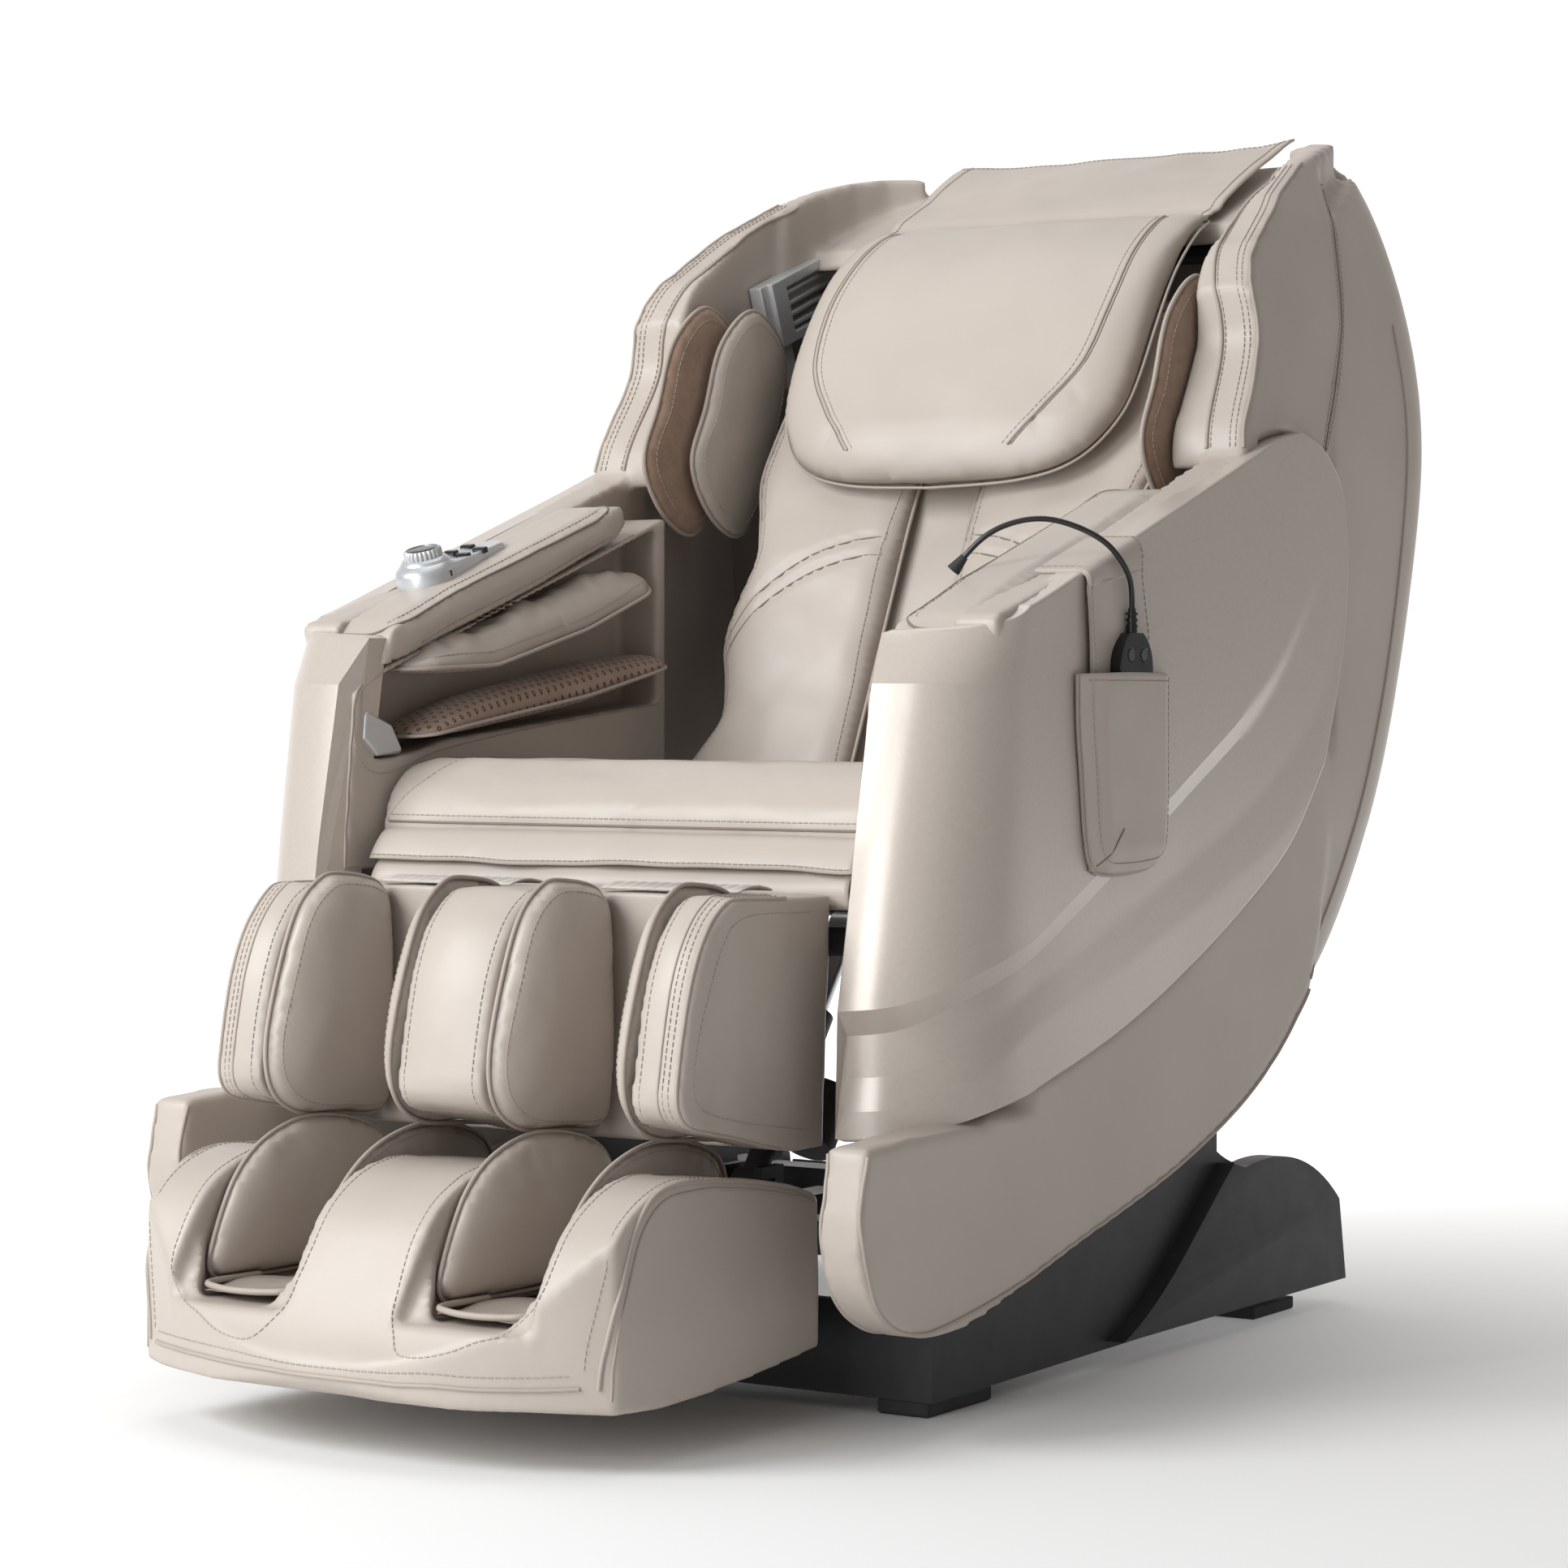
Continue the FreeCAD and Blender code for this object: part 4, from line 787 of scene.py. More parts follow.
def dressed(name, nodes, mat, body, slot, bevel=0.0015, angle=35, segments=3):
    """A rigid CAD piece with its edges rounded and its finish on."""
    bm = cad_copy(nodes)
    bmesh.ops.dissolve_limit(bm, angle_limit=math.radians(1.0), verts=bm.verts, edges=bm.edges)
    data = bpy.data.meshes.new(name)
    bm.to_mesh(data)
    bm.free()
    obj = add_object(name, data, mat, body, slot, nodes, True, angle)
    mod = obj.modifiers.new("bevel", "BEVEL")
    mod.width, mod.segments, mod.limit_method = bevel, segments, "ANGLE"
    mod.angle_limit, mod.harden_normals = math.radians(angle), True
    return obj


# ---- leather shell and back cover ------------------------------------------------------------
def wing_half(z):
    """Half width of the shell at a height: it narrows towards the head end."""
    return float(np.interp(z, [0.85, 1.0, 1.11, 1.19, 1.26], [0.386, 0.372, 0.345, 0.312, 0.300]))


def wing_lean(p):
    """The wing's front edge curves back towards its top corner."""
    y = p.y - SHIFT
    rise = min(1.0, max(0.0, (p.z - 0.865) / 0.115))
    near = min(1.0, max(0.0, (0.36 - y) / 0.16))
    fade = 1.0 if y > 0.1 else 0.0
    shift = 0.042 * rise * rise * (3 - 2 * rise) * near * fade
    return Vector((p.x, p.y + shift, p.z))


def clear_nose(co):
    """Draw the hidden corner behind the moulded nose back from the recessed band."""
    far = np.clip((np.abs(co[:, 0]) - 0.30) / 0.04, 0, 1) * np.clip((-0.22 + SHIFT - co[:, 1]) / 0.05, 0, 1)
    far = far * np.clip((0.47 - co[:, 2]) / 0.03, 0, 1) * np.clip((co[:, 2] - 0.262) / 0.008, 0, 1)
    co = co.copy()
    co[:, 0] -= np.sign(co[:, 0]) * 0.020 * far
    co[:, 1] += 0.014 * far
    return co


def make_shell():
    def crown(bm):
        for s in (1, -1):
            ridge(bm, [(s * 0.309, 0.425, 1.158), (s * 0.307, 0.465, 1.176), (s * 0.303, 0.505, 1.190),
                       (s * 0.292, 0.550, 1.202), (s * 0.270, 0.592, 1.209), (s * 0.235, 0.622, 1.210)],
                  0.028, 0.110)
            cheek = [(0.330, 0.555), (0.392, 0.610), (0.406, 0.740), (0.398, 0.840), (0.360, 0.880),
                     (0.320, 0.800)]
            yz_prism(bm, cheek, *sorted((s * 0.344, s * 0.368)))
            ledge = [(-0.290, 0.694), (-0.150, 0.736), (-0.035, 0.777), (0.136, 0.838), (0.215, 0.866),
                     (0.230, 0.820), (0.136, 0.780), (-0.150, 0.675), (-0.286, 0.645)]
            yz_prism(bm, ledge, *sorted((s * 0.342, s * 0.386)))
    data = remeshed(["side_shell_left", "side_shell_right", "back_cover"], 0.006, 14, crown)
    set_coords(data, clear_nose(np.array([wing_lean(Vector(p)) for p in coords(data)])))
    add_object("leather_shell", data, "leather", "cradle", "leather",
                       ["side_shell_left", "side_shell_right", "back_cover"])
    tree = tree_of(data)
    front = fine([at(0, *p) for p in ((0.189, 0.862), (0.197, 0.930), (0.199, 0.983), (0.197, 1.022),
                                      (0.214, 1.050), (0.255, 1.076), (0.350, 1.123), (0.448, 1.170))])
    crescent = fine([at(0.386, *p) for p in ((-0.499, 0.250), (-0.512, 0.200), (-0.484, 0.121),
                                             (-0.420, 0.092), (-0.213, 0.121), (0.015, 0.176),
                                             (0.218, 0.250), (0.334, 0.333))])
    rear = fine([at(0.45, *p) for p in ((0.334, 0.345), (0.392, 0.420), (0.436, 0.490), (0.474, 0.565),
                                        (0.512, 0.650), (0.540, 0.740), (0.556, 0.830), (0.564, 0.920),
                                        (0.560, 1.010))])
    seam = fine([at(0.45, *p) for p in ((0.478, 1.150), (0.460, 1.086), (0.432, 1.001), (0.366, 0.866))])
    for side in (1, -1):
        def flip(line):
            return [Vector((side * abs(p.x), p.y, p.z)) for p in line]
        for inset, kind in ((0.0005, "pipe"), (0.0105, "row"), (0.0165, "row"), (0.037, "row"),
                            (0.041, "pipe")):
            line = [Vector((side * (wing_half(p.z) - inset), p.y - 0.003, p.z + 0.002)) for p in front]
            line = [wing_lean(p) for p in line]
            line = laid(line, tree, 0.0006, 4)
            if kind == "pipe":
                Trim.pipe(line, radius=0.0019)
            else:
                Trim.row(line)
        Trim.pipe(laid(flip(crescent), tree, 0.0004, 4), radius=0.0020)
        inner = [Vector((side * 0.348, p.y, p.z)) for p in crescent]
        Trim.pipe(laid(inner, tree, 0.0004, 4), radius=0.0018)
        Trim.pipe(cast(flip(rear), tree, (-side, 0, 0), 0.0003, 4), radius=0.0016)
        mid = cast(flip(seam), tree, (-side, 0, 0), 0.0002, 4)
        # A thin dark line down the seam between the stitch rows: painted shade in the seam's crevice.
        Trim.pipe(mid, radius=0.0009, mat="leather_dark")
        for shift in (-0.0045, 0.0045):
            Trim.row(laid([p + Vector((0, shift, -shift * 0.35)) for p in mid], tree, 0.0003, 2))
    top = [at(x, 0.640 + 0.012 * math.cos(x * 5), 1.195) for x in np.linspace(-0.27, 0.27, 60)]
    Trim.pipe(laid(top, tree, 0.0004, 6), radius=0.0018)
    for z in (0.45, 0.98):
        ring = [at(x, 0.9, z) for x in np.linspace(-0.30, 0.30, 80)]
        line = cast(ring, tree, (0, -1, 0), 0.0003, 4)
        # A thin dark line along the seam: painted shade in its crevice.
        Trim.pipe(line, radius=0.0009, mat="leather_dark")
        for shift in (-0.0045, 0.0045):
            Trim.row([p + Vector((0, 0, shift)) for p in line])
    return tree


# ---- moulded side panels ---------------------------------------------------------------------
SWEEP_A = ((-0.44, 0.357), (-0.385, 0.364), (-0.33, 0.382), (-0.25, 0.413), (-0.163, 0.453),
           (0.048, 0.552), (0.222, 0.648), (0.351, 0.783), (0.400, 0.850))
SWEEP_R = ((-0.44, 0.299), (-0.385, 0.305), (-0.33, 0.321), (-0.25, 0.367), (-0.211, 0.382),
           (-0.093, 0.421), (0.032, 0.463), (0.164, 0.513), (0.261, 0.567), (0.319, 0.610),
           (0.37, 0.680), (0.42, 0.780))
SWEEP_S = ((-0.44, 0.271), (-0.385, 0.276), (-0.33, 0.290), (-0.25, 0.328), (-0.211, 0.342),
           (-0.093, 0.375), (0.097, 0.436), (0.233, 0.486), (0.330, 0.550), (0.42, 0.640))
PANEL_LOW = ((-0.44, 0.248), (-0.385, 0.252), (-0.33, 0.262), (-0.25, 0.281), (-0.211, 0.292),
             (-0.093, 0.323), (0.032, 0.367), (0.164, 0.427), (0.262, 0.485), (0.334, 0.560))
PANEL_REAR = ((0.334, 0.560), (0.364, 0.630), (0.382, 0.690), (0.389, 0.745), (0.386, 0.795),
              (0.372, 0.835), (0.336, 0.866), (0.290, 0.880))
PANEL_TOP = ((0.290, 0.880), (0.232, 0.869), (0.136, 0.835), (-0.035, 0.775), (-0.150, 0.735),
             (-0.250, 0.701), (-0.33, 0.686), (-0.44, 0.680))


def sweep(table, s):
    return np.interp(s, [p[0] for p in table], [p[1] for p in table])


def soft_sweep(table):
    """The same line with its kinks smoothed."""
    line = fine([Vector((s, z, 0)) for s, z in table], 0.004)
    return [(p.x, p.y) for p in line]


def side_panel(side):
    """The panel's skin: a long face that turns round the arm's nose, stepped in swept bands."""
    nose_s, nose_y = 0.19, -0.250
    low, rear, top = soft_sweep(PANEL_LOW), soft_sweep(PANEL_REAR), soft_sweep(PANEL_TOP)
    a_line, r_line, s_line = soft_sweep(SWEEP_A), soft_sweep(SWEEP_R), soft_sweep(SWEEP_S)
    outline = [Vector(p) for p in low[:-1] + rear[:-1] + top]
    ring_np = np.array([tuple(p) for p in outline])

    def nose_front(z):
        return np.interp(z, [0.24, 0.360, 0.499, 0.636, 0.668, 0.700],
                         [-0.399, -0.398, -0.375, -0.349, -0.325, -0.300])

    def relief(s, z):
        g = np.clip((-0.16 - s) / 0.24, 0, 1)
        g = g * g * (3 - 2 * g)
        a, r, w = sweep(a_line, s), sweep(r_line, s), 0.020 + 0.002 * g
        deep = 0.0045 * np.clip((0.34 - s) / 0.30, 0, 1) + 0.0115 * g
        h = -deep * np.clip((a - z) / w, 0, 1)
        b = sweep(s_line, s)
        h = h + (0.0016 + 0.0045 * g) * np.clip((r - z) / np.maximum(r - b, 1e-4), 0, 1)
        h = h - 0.0022 * np.clip((z - a) / 0.25, 0, 1) ** 2
        return h

    def place(s, z, h):
        phi = np.clip((nose_y - s) / nose_s, 0, 1) * math.pi / 2
        yf = nose_front(z)
        x = 0.284 + (0.399 - 0.284) * np.cos(phi) ** 0.80
        y = nose_y + (yf - nose_y) * np.sin(phi) ** 0.92
        y = np.where(s > nose_y, s, y)
        nx = np.where(s > nose_y, 1.0, np.cos(phi) ** 1.1)
        ny = -np.sqrt(np.clip(1 - nx ** 2, 0, 1))
        return np.array([side * (x + nx * h), y + ny * h + SHIFT, z])

    step = 0.006
    grid = staggered(np.arange(-0.44, 0.39, step), np.arange(0.24, 0.89, step), step)
    grid = grid[within(ring_np, grid)]
    a2_line = [(s, z - 0.020 - 0.002 * float(np.clip((-0.16 - s) / 0.24, 0, 1))) for s, z in a_line]
    kept_lines = []
    for line in (a_line, a2_line, r_line, s_line):
        pts = np.array(line)
        ok = within(ring_np, pts) & (gap_to(ring_np, pts, True) > 0.003)
        kept_lines.append(pts[ok])
        grid = grid[gap_to(pts[ok], grid) > 0.5 * step]
    grid = grid[gap_to(ring_np, grid, True) > 0.5 * step]
    flat = [Vector(p) for p in ring_np]
    edges = [(i, (i + 1) % len(flat)) for i in range(len(flat))]
    for pts in kept_lines:
        first = len(flat)
        flat += [Vector(p) for p in pts]
        edges += [(first + i, first + i + 1) for i in range(len(pts) - 1)]
    flat += [Vector(p) for p in grid]
    out = delaunay_2d_cdt(flat, edges, [], 1, 1e-7)
    pts2 = np.array([tuple(p) for p in out[0]])
    h = relief(pts2[:, 0], pts2[:, 1])
    verts = list(place(pts2[:, 0], pts2[:, 1], h).T)
    faces = [tuple(t) if side > 0 else tuple(reversed(t)) for t in out[2]]
    # rolled rim, then a wall back to the shell
    order = {tuple(np.round(p, 6)): i for i, p in enumerate(pts2)}
    loop = [order[tuple(np.round(p, 6))] for p in ring_np if tuple(np.round(p, 6)) in order]
    n = len(loop)
    centre_dir = []
    for k in range(n):
        q0, q1 = pts2[loop[k - 1]], pts2[loop[(k + 1) % n]]
        t = (q1 - q0) / max(np.linalg.norm(q1 - q0), 1e-9)
        centre_dir.append((t[1], -t[0]))
    rows = [loop]
    for out_d, down in ((0.0014, 0.0004), (0.0022, 0.0014), (0.0026, 0.003), (0.0026, 0.026)):
        row = []
        for k, i in enumerate(loop):
            s, z = pts2[i][0] + centre_dir[k][0] * out_d, pts2[i][1] + centre_dir[k][1] * out_d
            row.append(len(verts))
            verts.append(place(s, z, h[i] - down))
        rows.append(row)
    for r0, r1 in zip(rows, rows[1:]):
        for k in range(n):
            j = (k + 1) % n
            quad = (r0[k], r1[k], r1[j], r0[j])
            faces.append(quad if side > 0 else tuple(reversed(quad)))
    name = "left" if side > 0 else "right"
    obj = add_mesh("moulded_panel_" + name, verts, faces, "panel", "cradle", "panel_plastic",
                   ["side_panel_" + name], True, 9)
    bm = bmesh.new()
    bm.from_mesh(obj.data)
    bmesh.ops.recalc_face_normals(bm, faces=bm.faces)

    def outermost(face):
        middle = face.calc_center_median()
        return side * middle.x - abs(middle.z - 0.6)
    probe = max(bm.faces, key=outermost)
    if probe.normal.x * side < 0:
        bmesh.ops.reverse_faces(bm, faces=bm.faces)
    bm.to_mesh(obj.data)
    bm.free()
    return obj


# ---- arms ------------------------------------------------------------------------------------
def make_arm(side):
    name = "left" if side > 0 else "right"
    data = remeshed(["arm_" + name], 0.004, 10)
    set_coords(data, clear_nose(coords(data)))
    add_object("arm_skin_" + name, data, "leather", "cradle", "leather", ["arm_" + name])
    tree = tree_of(data)
    x = side * 0.2825
    rim = fine([at(x, *p) for p in ((-0.290, 0.659), (-0.201, 0.690), (-0.020, 0.752), (0.120, 0.800))])
    Trim.row(laid(rim, tree, 0.0004, 4))
    under = fine([at(x, *p) for p in ((-0.300, 0.655), (-0.330, 0.638), (-0.338, 0.600), (-0.334, 0.574),
                                      (-0.318, 0.556), (-0.290, 0.552), (-0.250, 0.562), (-0.201, 0.574),
                                      (-0.060, 0.593), (0.100, 0.610), (0.165, 0.618))])
    Trim.row(laid(under, tree, 0.0004, 4))
    seam = straight([at(x, -0.236, 0.562), at(x, -0.238, 0.480)])
    for shift in (-0.0035, 0.0035):
        Trim.row(laid([p + Vector((0, shift, 0)) for p in seam], tree, 0.0003, 2))
    # A thin dark line sunk into the seam: painted shade in its crevice.
    Trim.pipe(laid(seam, tree, -0.0002, 2), radius=0.0008, mat="leather_dark")
    front = fine([at(side * 0.2835, *p) for p in ((-0.300, 0.668), (-0.336, 0.628), (-0.350, 0.520),
                                                  (-0.352, 0.464))])
    Trim.pipe(laid(front, tree, 0.0006, 4), radius=0.0015)

    lo, hi = sorted((side * 0.2795, side * 0.3565))
    shape = [(p.x, p.y) for p in rounded([Vector(p) for p in (
        (-0.300, 0.652), (-0.284, 0.688), (-0.181, 0.7285), (-0.049, 0.7725), (0.062, 0.812), (0.094, 0.822),
        (0.101, 0.802), (0.084, 0.786), (-0.049, 0.735), (-0.181, 0.690), (-0.262, 0.662))], 0.006)]
    pad = remeshed([], 0.004, 10, lambda bm: yz_prism(bm, shape, lo, hi))
    obj = add_object("arm_top_" + name, pad, "leather", "cradle", "leather", ["arm_pad_" + name])
    cloth_puff(obj, 3.0, 14, 0.004)
    top = tree_of(obj.data)
    edge = [at(side * 0.2835, *p) for p in ((-0.262, 0.694), (-0.181, 0.725), (-0.049, 0.769),
                                            (0.060, 0.806))]
    line = fine([at(side * 0.336, -0.285, 0.684), at(side * 0.300, -0.284, 0.684)] + edge
                + [at(side * 0.292, 0.083, 0.812), at(side * 0.315, 0.090, 0.815)])
    # A thin dark line where the top pad meets the arm: painted shade in the joint.
    Trim.pipe(laid(line, top, 0.0004, 5), radius=0.0013, mat="leather_dark")
    Trim.row(laid([p + Vector((side * 0.0085, 0, 0.004)) for p in line[14:-8]], top, 0.0004, 4))
    low = fine([at(side * 0.2795, *p) for p in ((-0.240, 0.676), (-0.181, 0.699), (-0.049, 0.743),
                                                (0.074, 0.790))])
    Trim.row(laid(low, top, 0.0004, 4))


make_shell()
for SIDE in (1, -1):
    side_panel(SIDE)
    make_arm(SIDE)


# ---- back, seat, pillow ----------------------------------------------------------------------
def make_back():
    outer = [(0.236, 0.008), (0.240, 0.050), (0.222, 0.085), (0.206, 0.120), (0.214, 0.165), (0.226, 0.205),
             (0.222, 0.250), (0.212, 0.300), (0.222, 0.350), (0.236, 0.400), (0.234, 0.450),
             (0.228, 0.500), (0.232, 0.560), (0.230, 0.588)]
    line = [(p.x, p.y) for p in fine([Vector((a, b, 0)) for a, b in outer], 0.008)]
    outline = [(0.036, 0.008)] + line + [(0.036, 0.588)]
    outline = [(p.x, p.y) for p in rounded([Vector(p) for p in outline], 0.016)]

    def plane(v):
        return np.interp(v, [0, 0.33, 0.37, 0.453, 0.568, 0.634],
                         [-0.022, -0.022, -0.024, -0.030, -0.034, -0.035])

    def crown(pts):
        top = np.interp(pts[:, 1], [0, 0.30, 0.3705, 0.453, 0.60], [0.027, 0.026, 0.017, 0.010, 0.003])
        groove = np.zeros(len(pts))
        for c, r in ((0.30, 0.196), (0.322, 0.196)):
            far = np.abs(np.hypot(pts[:, 0] - 0.036, (pts[:, 1] - c + r)) - r)
            groove += np.exp(-(far / 0.0035) ** 2) * 0.0045 * (pts[:, 1] > c - r)
        return top - groove

    def under(pts):
        return np.interp(pts[:, 1], [0, 0.33, 0.42, 0.60], [0.012, 0.012, 0.005, 0.003])
    for side in (1, -1):
        name = "left" if side > 0 else "right"
        pad = cushion("back_pad_skin_" + name, outline,
                      lambda u, v, h, s=side: on_back(s * u, v, float(plane(v)) + h), crown, under,
                      "leather", replaces=["back_pad_" + name], step=0.007, rim=0.034,
                      folds=(13.0, 0.0028, 3.1 + side))
        rim = rim_of(pad)
        tree = tree_of(pad.data)
        Trim.pipe(smooth_line(rim, 2, True), radius=0.0020, closed=True)
        inset = []
        cx = on_back(side * 0.13, 0.30, 0)
        for p in rim:
            d = (cx - p)
            inset.append(p + d.normalized() * 0.009)
        Trim.row(laid([p + OUT * 0.03 for p in inset], tree, 0.0004, 4, True), closed=True)
        for c in (0.30, 0.322):
            arc = [(0.036 + 0.196 * math.cos(t), c - 0.196 + 0.196 * math.sin(t))
                   for t in np.linspace(0.32, math.pi / 2, 50)]
            line = [on_back(side * u, v, 0.05) for u, v in arc if u < 0.22]
            # A thin dark line along each moulded groove: painted shade in the groove.
            Trim.pipe(cast(line, tree, -OUT, 0.0001, 4), radius=0.0009, mat="leather_dark")
    mid = [(-0.228, 0.006), (0.228, 0.006), (0.228, 0.606), (-0.228, 0.606)]
    panel = cushion("back_centre_skin", [(p.x, p.y) for p in rounded([Vector(p) for p in mid], 0.02)],
                    lambda u, v, h: on_back(u, v, -0.0495 + h), 0.016, 0.0012, "airbag", "cradle",
                    "airbag_leather", ["back_center_panel"], 0.009, 0.06, (9.0, 0.002, 7.7))
    rim_of(panel)


def make_seat():
    data = remeshed(["seat_cushion"], 0.005, 16)
    seat = add_object("seat_cushion_skin", data, "leather", "cradle", "leather", ["seat_cushion"])
    cloth_puff(seat, 4.0, 16, 0.007)
    co = coords(data)
    wave = crease(co, 11.0, 0.0022, 5.5, (1.0, 1.6, 1.6))
    set_coords(data, co + normals(data) * wave[:, None])
    tree = tree_of(data)
    front = [at(x, -0.330, 0.507) for x in np.linspace(-0.268, 0.268, 120)]
    seam = cast(front, tree, (0, 1, 0), 0.0003, 5)
    # A thin dark line along the front seam: painted shade in its crevice.
    Trim.pipe(seam, radius=0.0012, mat="leather_dark")
    Trim.row(cast([p + Vector((0, -0.03, 0.0065)) for p in seam], tree, (0, 1, 0), 0.0004, 4))
    for s in (1, -1):
        ends = fine([at(s * 0.272, -0.315, 0.508), at(s * 0.262, -0.312, 0.530), at(s * 0.240, -0.285, 0.565),
                     at(s * 0.216, -0.235, 0.580)])
        Trim.row(laid(ends, tree, 0.0004, 5))


def strip(name, profile, half, wave, mats, body, replaces=(), thick=0.0022, slot="leather",
          step=0.006, phase=0.0):
    """A band of leather across the chair: a profile in Y and Z swept in X with a wavy lower part."""
    line = fine([at(0, *p) for p in profile], 0.005)
    xs = np.arange(-half, half + 1e-6, step)
    verts, faces = [], []
    n = len(line)
    for x in xs:
        for j, p in enumerate(line):
            share = j / (n - 1)
            sway = wave * share * (math.sin(x * 17 + phase) + 0.6 * math.sin(x * 37 + 1.3 + phase)
                                   + 0.35 * math.sin(x * 71 + phase * 2))
            verts.append(Vector((x * (1 + 0.015 * share), p.y - abs(sway) * 0.8, p.z + sway * 0.45)))
    for i in range(len(xs) - 1):
        for j in range(n - 1):
            faces.append((i * n + j, (i + 1) * n + j, (i + 1) * n + j + 1, i * n + j + 1))
    obj = add_mesh(name, verts, faces, mats, body, slot, replaces)
    mod = obj.modifiers.new("thick", "SOLIDIFY")
    mod.thickness, mod.offset = thick, -1
    lower = [verts[i * n + n - 1] for i in range(len(xs))]
    above = [verts[i * n + max(0, n - 3)] for i in range(len(xs))]
    return obj, lower, above


def solid_mesh(obj):
    """Apply the modifiers of a mesh piece."""
    done = evaluated(obj)
    done.shade_smooth()
    obj.modifiers.clear()
    obj.data = done
    return obj


def make_skirts():
    upper, low, _ = strip("seat_flap_upper", [(-0.300, 0.500), (-0.309, 0.499), (-0.317, 0.494),
                                                 (-0.326, 0.482), (-0.331, 0.472)],
                              0.264, 0.0022, "leather", "cradle", ["seat_flaps"])
    lower, _, _ = strip("seat_flap_lower", [(-0.298, 0.476), (-0.310, 0.477), (-0.323, 0.470),
                                                  (-0.332, 0.456), (-0.330, 0.440)],
                                0.262, 0.0026, "leather", "cradle", phase=2.0)
    solid_mesh(upper)
    solid_mesh(lower)
    Trim.row([p + Vector((0, -0.0012, 0.0045)) for p in low])
    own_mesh(upper)
    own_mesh(lower)


def make_pillow():
    base = fine([at(0, *p) for p in ((0.243, 0.838), (0.280, 0.903), (0.330, 0.995), (0.376, 1.058),
                                     (0.430, 1.101), (0.472, 1.121))], 0.004)
    run = np.r_[0, np.cumsum([(b - a).length for a, b in zip(base, base[1:])])]
    ys, zs = np.array([p.y for p in base]), np.array([p.z for p in base])

    def place(u, v, h):
        y, z = np.interp(v, run, ys), np.interp(v, run, zs)
        y1, z1 = np.interp(v + 0.004, run, ys), np.interp(v + 0.004, run, zs)
        y0, z0 = np.interp(v - 0.004, run, ys), np.interp(v - 0.004, run, zs)
        t = Vector((0, y1 - y0, z1 - z0)).normalized()
        return Vector((u, y, z)) + Vector((0, -t.z, t.y)) * h
    end = float(run[-1])
    half = [(0.205, end - 0.001), (0.212, 0.25), (0.210, 0.13), (0.196, 0.070), (0.160, 0.026),
            (0.100, 0.006), (0.0, 0.0)]
    right = [(p.x, p.y) for p in fine([Vector((a, b, 0)) for a, b in half], 0.006)]
    outline = right + [(-u, v) for u, v in reversed(right[:-1])]

    def front(pts):
        return np.interp(pts[:, 1], [0, 0.06, 0.2, end], [0.030, 0.036, 0.030, 0.016])

    def back(pts):
        return np.interp(pts[:, 1], [0, 0.1, 0.3, end], [0.012, 0.012, 0.007, 0.003])
    pillow = cushion("pillow_skin", outline, place, front, back, "leather", "pillow", "leather", ["pillow"],
                     0.006, 0.045, (10.0, 0.0022, 9.2))
    rim = rim_of(pillow)
    cloth_puff(pillow, 2.5, 12, 0.005)
    tree = tree_of(pillow.data)
    Trim.pipe(smooth_line(rim, 2, True), "pillow", 0.0016, True)
    low = [p for p in rim if p.z < 0.905]
    gathers(tree, low, place(0, 0.16, 0.03), "pillow", 2)
    for s in (1, -1):
        line = fine([place(s * u, v, 0.06) for u, v in ((0.163, end - 0.004), (0.171, 0.28), (0.174, 0.20),
                                                        (0.164, 0.13), (0.130, 0.075), (0.098, 0.020))])
        seam = laid(line, tree, 0.0003, 6)
        Trim.pipe(seam, "pillow", 0.0016)
        # A thin dark line just beside the piping: painted shade under the piping's edge.
        Trim.pipe(laid([p + Vector((s * 0.004, 0, 0)) for p in seam], tree, -0.0002, 4), "pillow", 0.0008,
                  mat="leather_dark")
        Trim.row(laid([p - Vector((s * 0.007, 0, 0)) for p in seam], tree, 0.0003, 4), "pillow")


FLAP_NORMAL = Vector((0, -0.45, 0.89))


def make_flap():
    """The leather sheet over the head end, creased where it folds over the back's top."""
    spine = fine([at(0, *p) for p in ((0.474, 1.126), (0.520, 1.152), (0.585, 1.187), (0.640, 1.212),
                                      (0.668, 1.221))], 0.006)
    n, verts, faces = len(spine), [], []
    xs = np.linspace(-0.203, 0.203, 70)
    for x in xs:
        for j, p in enumerate(spine):
            v = j / (n - 1)
            q = Vector((x * 9, v * 2.2, 0.4))
            lift = 0.0035 * noise.noise(q) + 0.002 * noise.noise(q * 2.3) + 0.0020
            corner = 0.005 * max(0.0, abs(x) / 0.203 - 0.80) / 0.2 * max(0.0, v - 0.7) / 0.3
            dip = -0.0035 * math.exp(-((v - 0.10) / 0.05) ** 2)
            spread = Vector((x * (1.0 + 0.02 * v), 0, 0))
            verts.append(p + spread + FLAP_NORMAL * (lift + corner + dip))
    for i in range(len(xs) - 1):
        for j in range(n - 1):
            faces.append((i * n + j, (i + 1) * n + j, (i + 1) * n + j + 1, i * n + j + 1))
    flap = add_mesh("pillow_flap_sheet", verts, faces, "leather", "cradle", "leather", ["pillow_flap"])
    mod = flap.modifiers.new("thick", "SOLIDIFY")
    mod.thickness, mod.offset = 0.0024, -1
    solid_mesh(flap)
    length = sum((b - a).length for a, b in zip(spine, spine[1:]))
    up = FLAP_NORMAL * 0.0006
    rows = []
    for i in (2, len(xs) - 3):
        rows.append([verts[i * n + j] + up for j in range(n)])
    rows.append([verts[i * n + n - 2] + up for i in range(len(xs))])
    for line in rows:
        Trim.row(line)


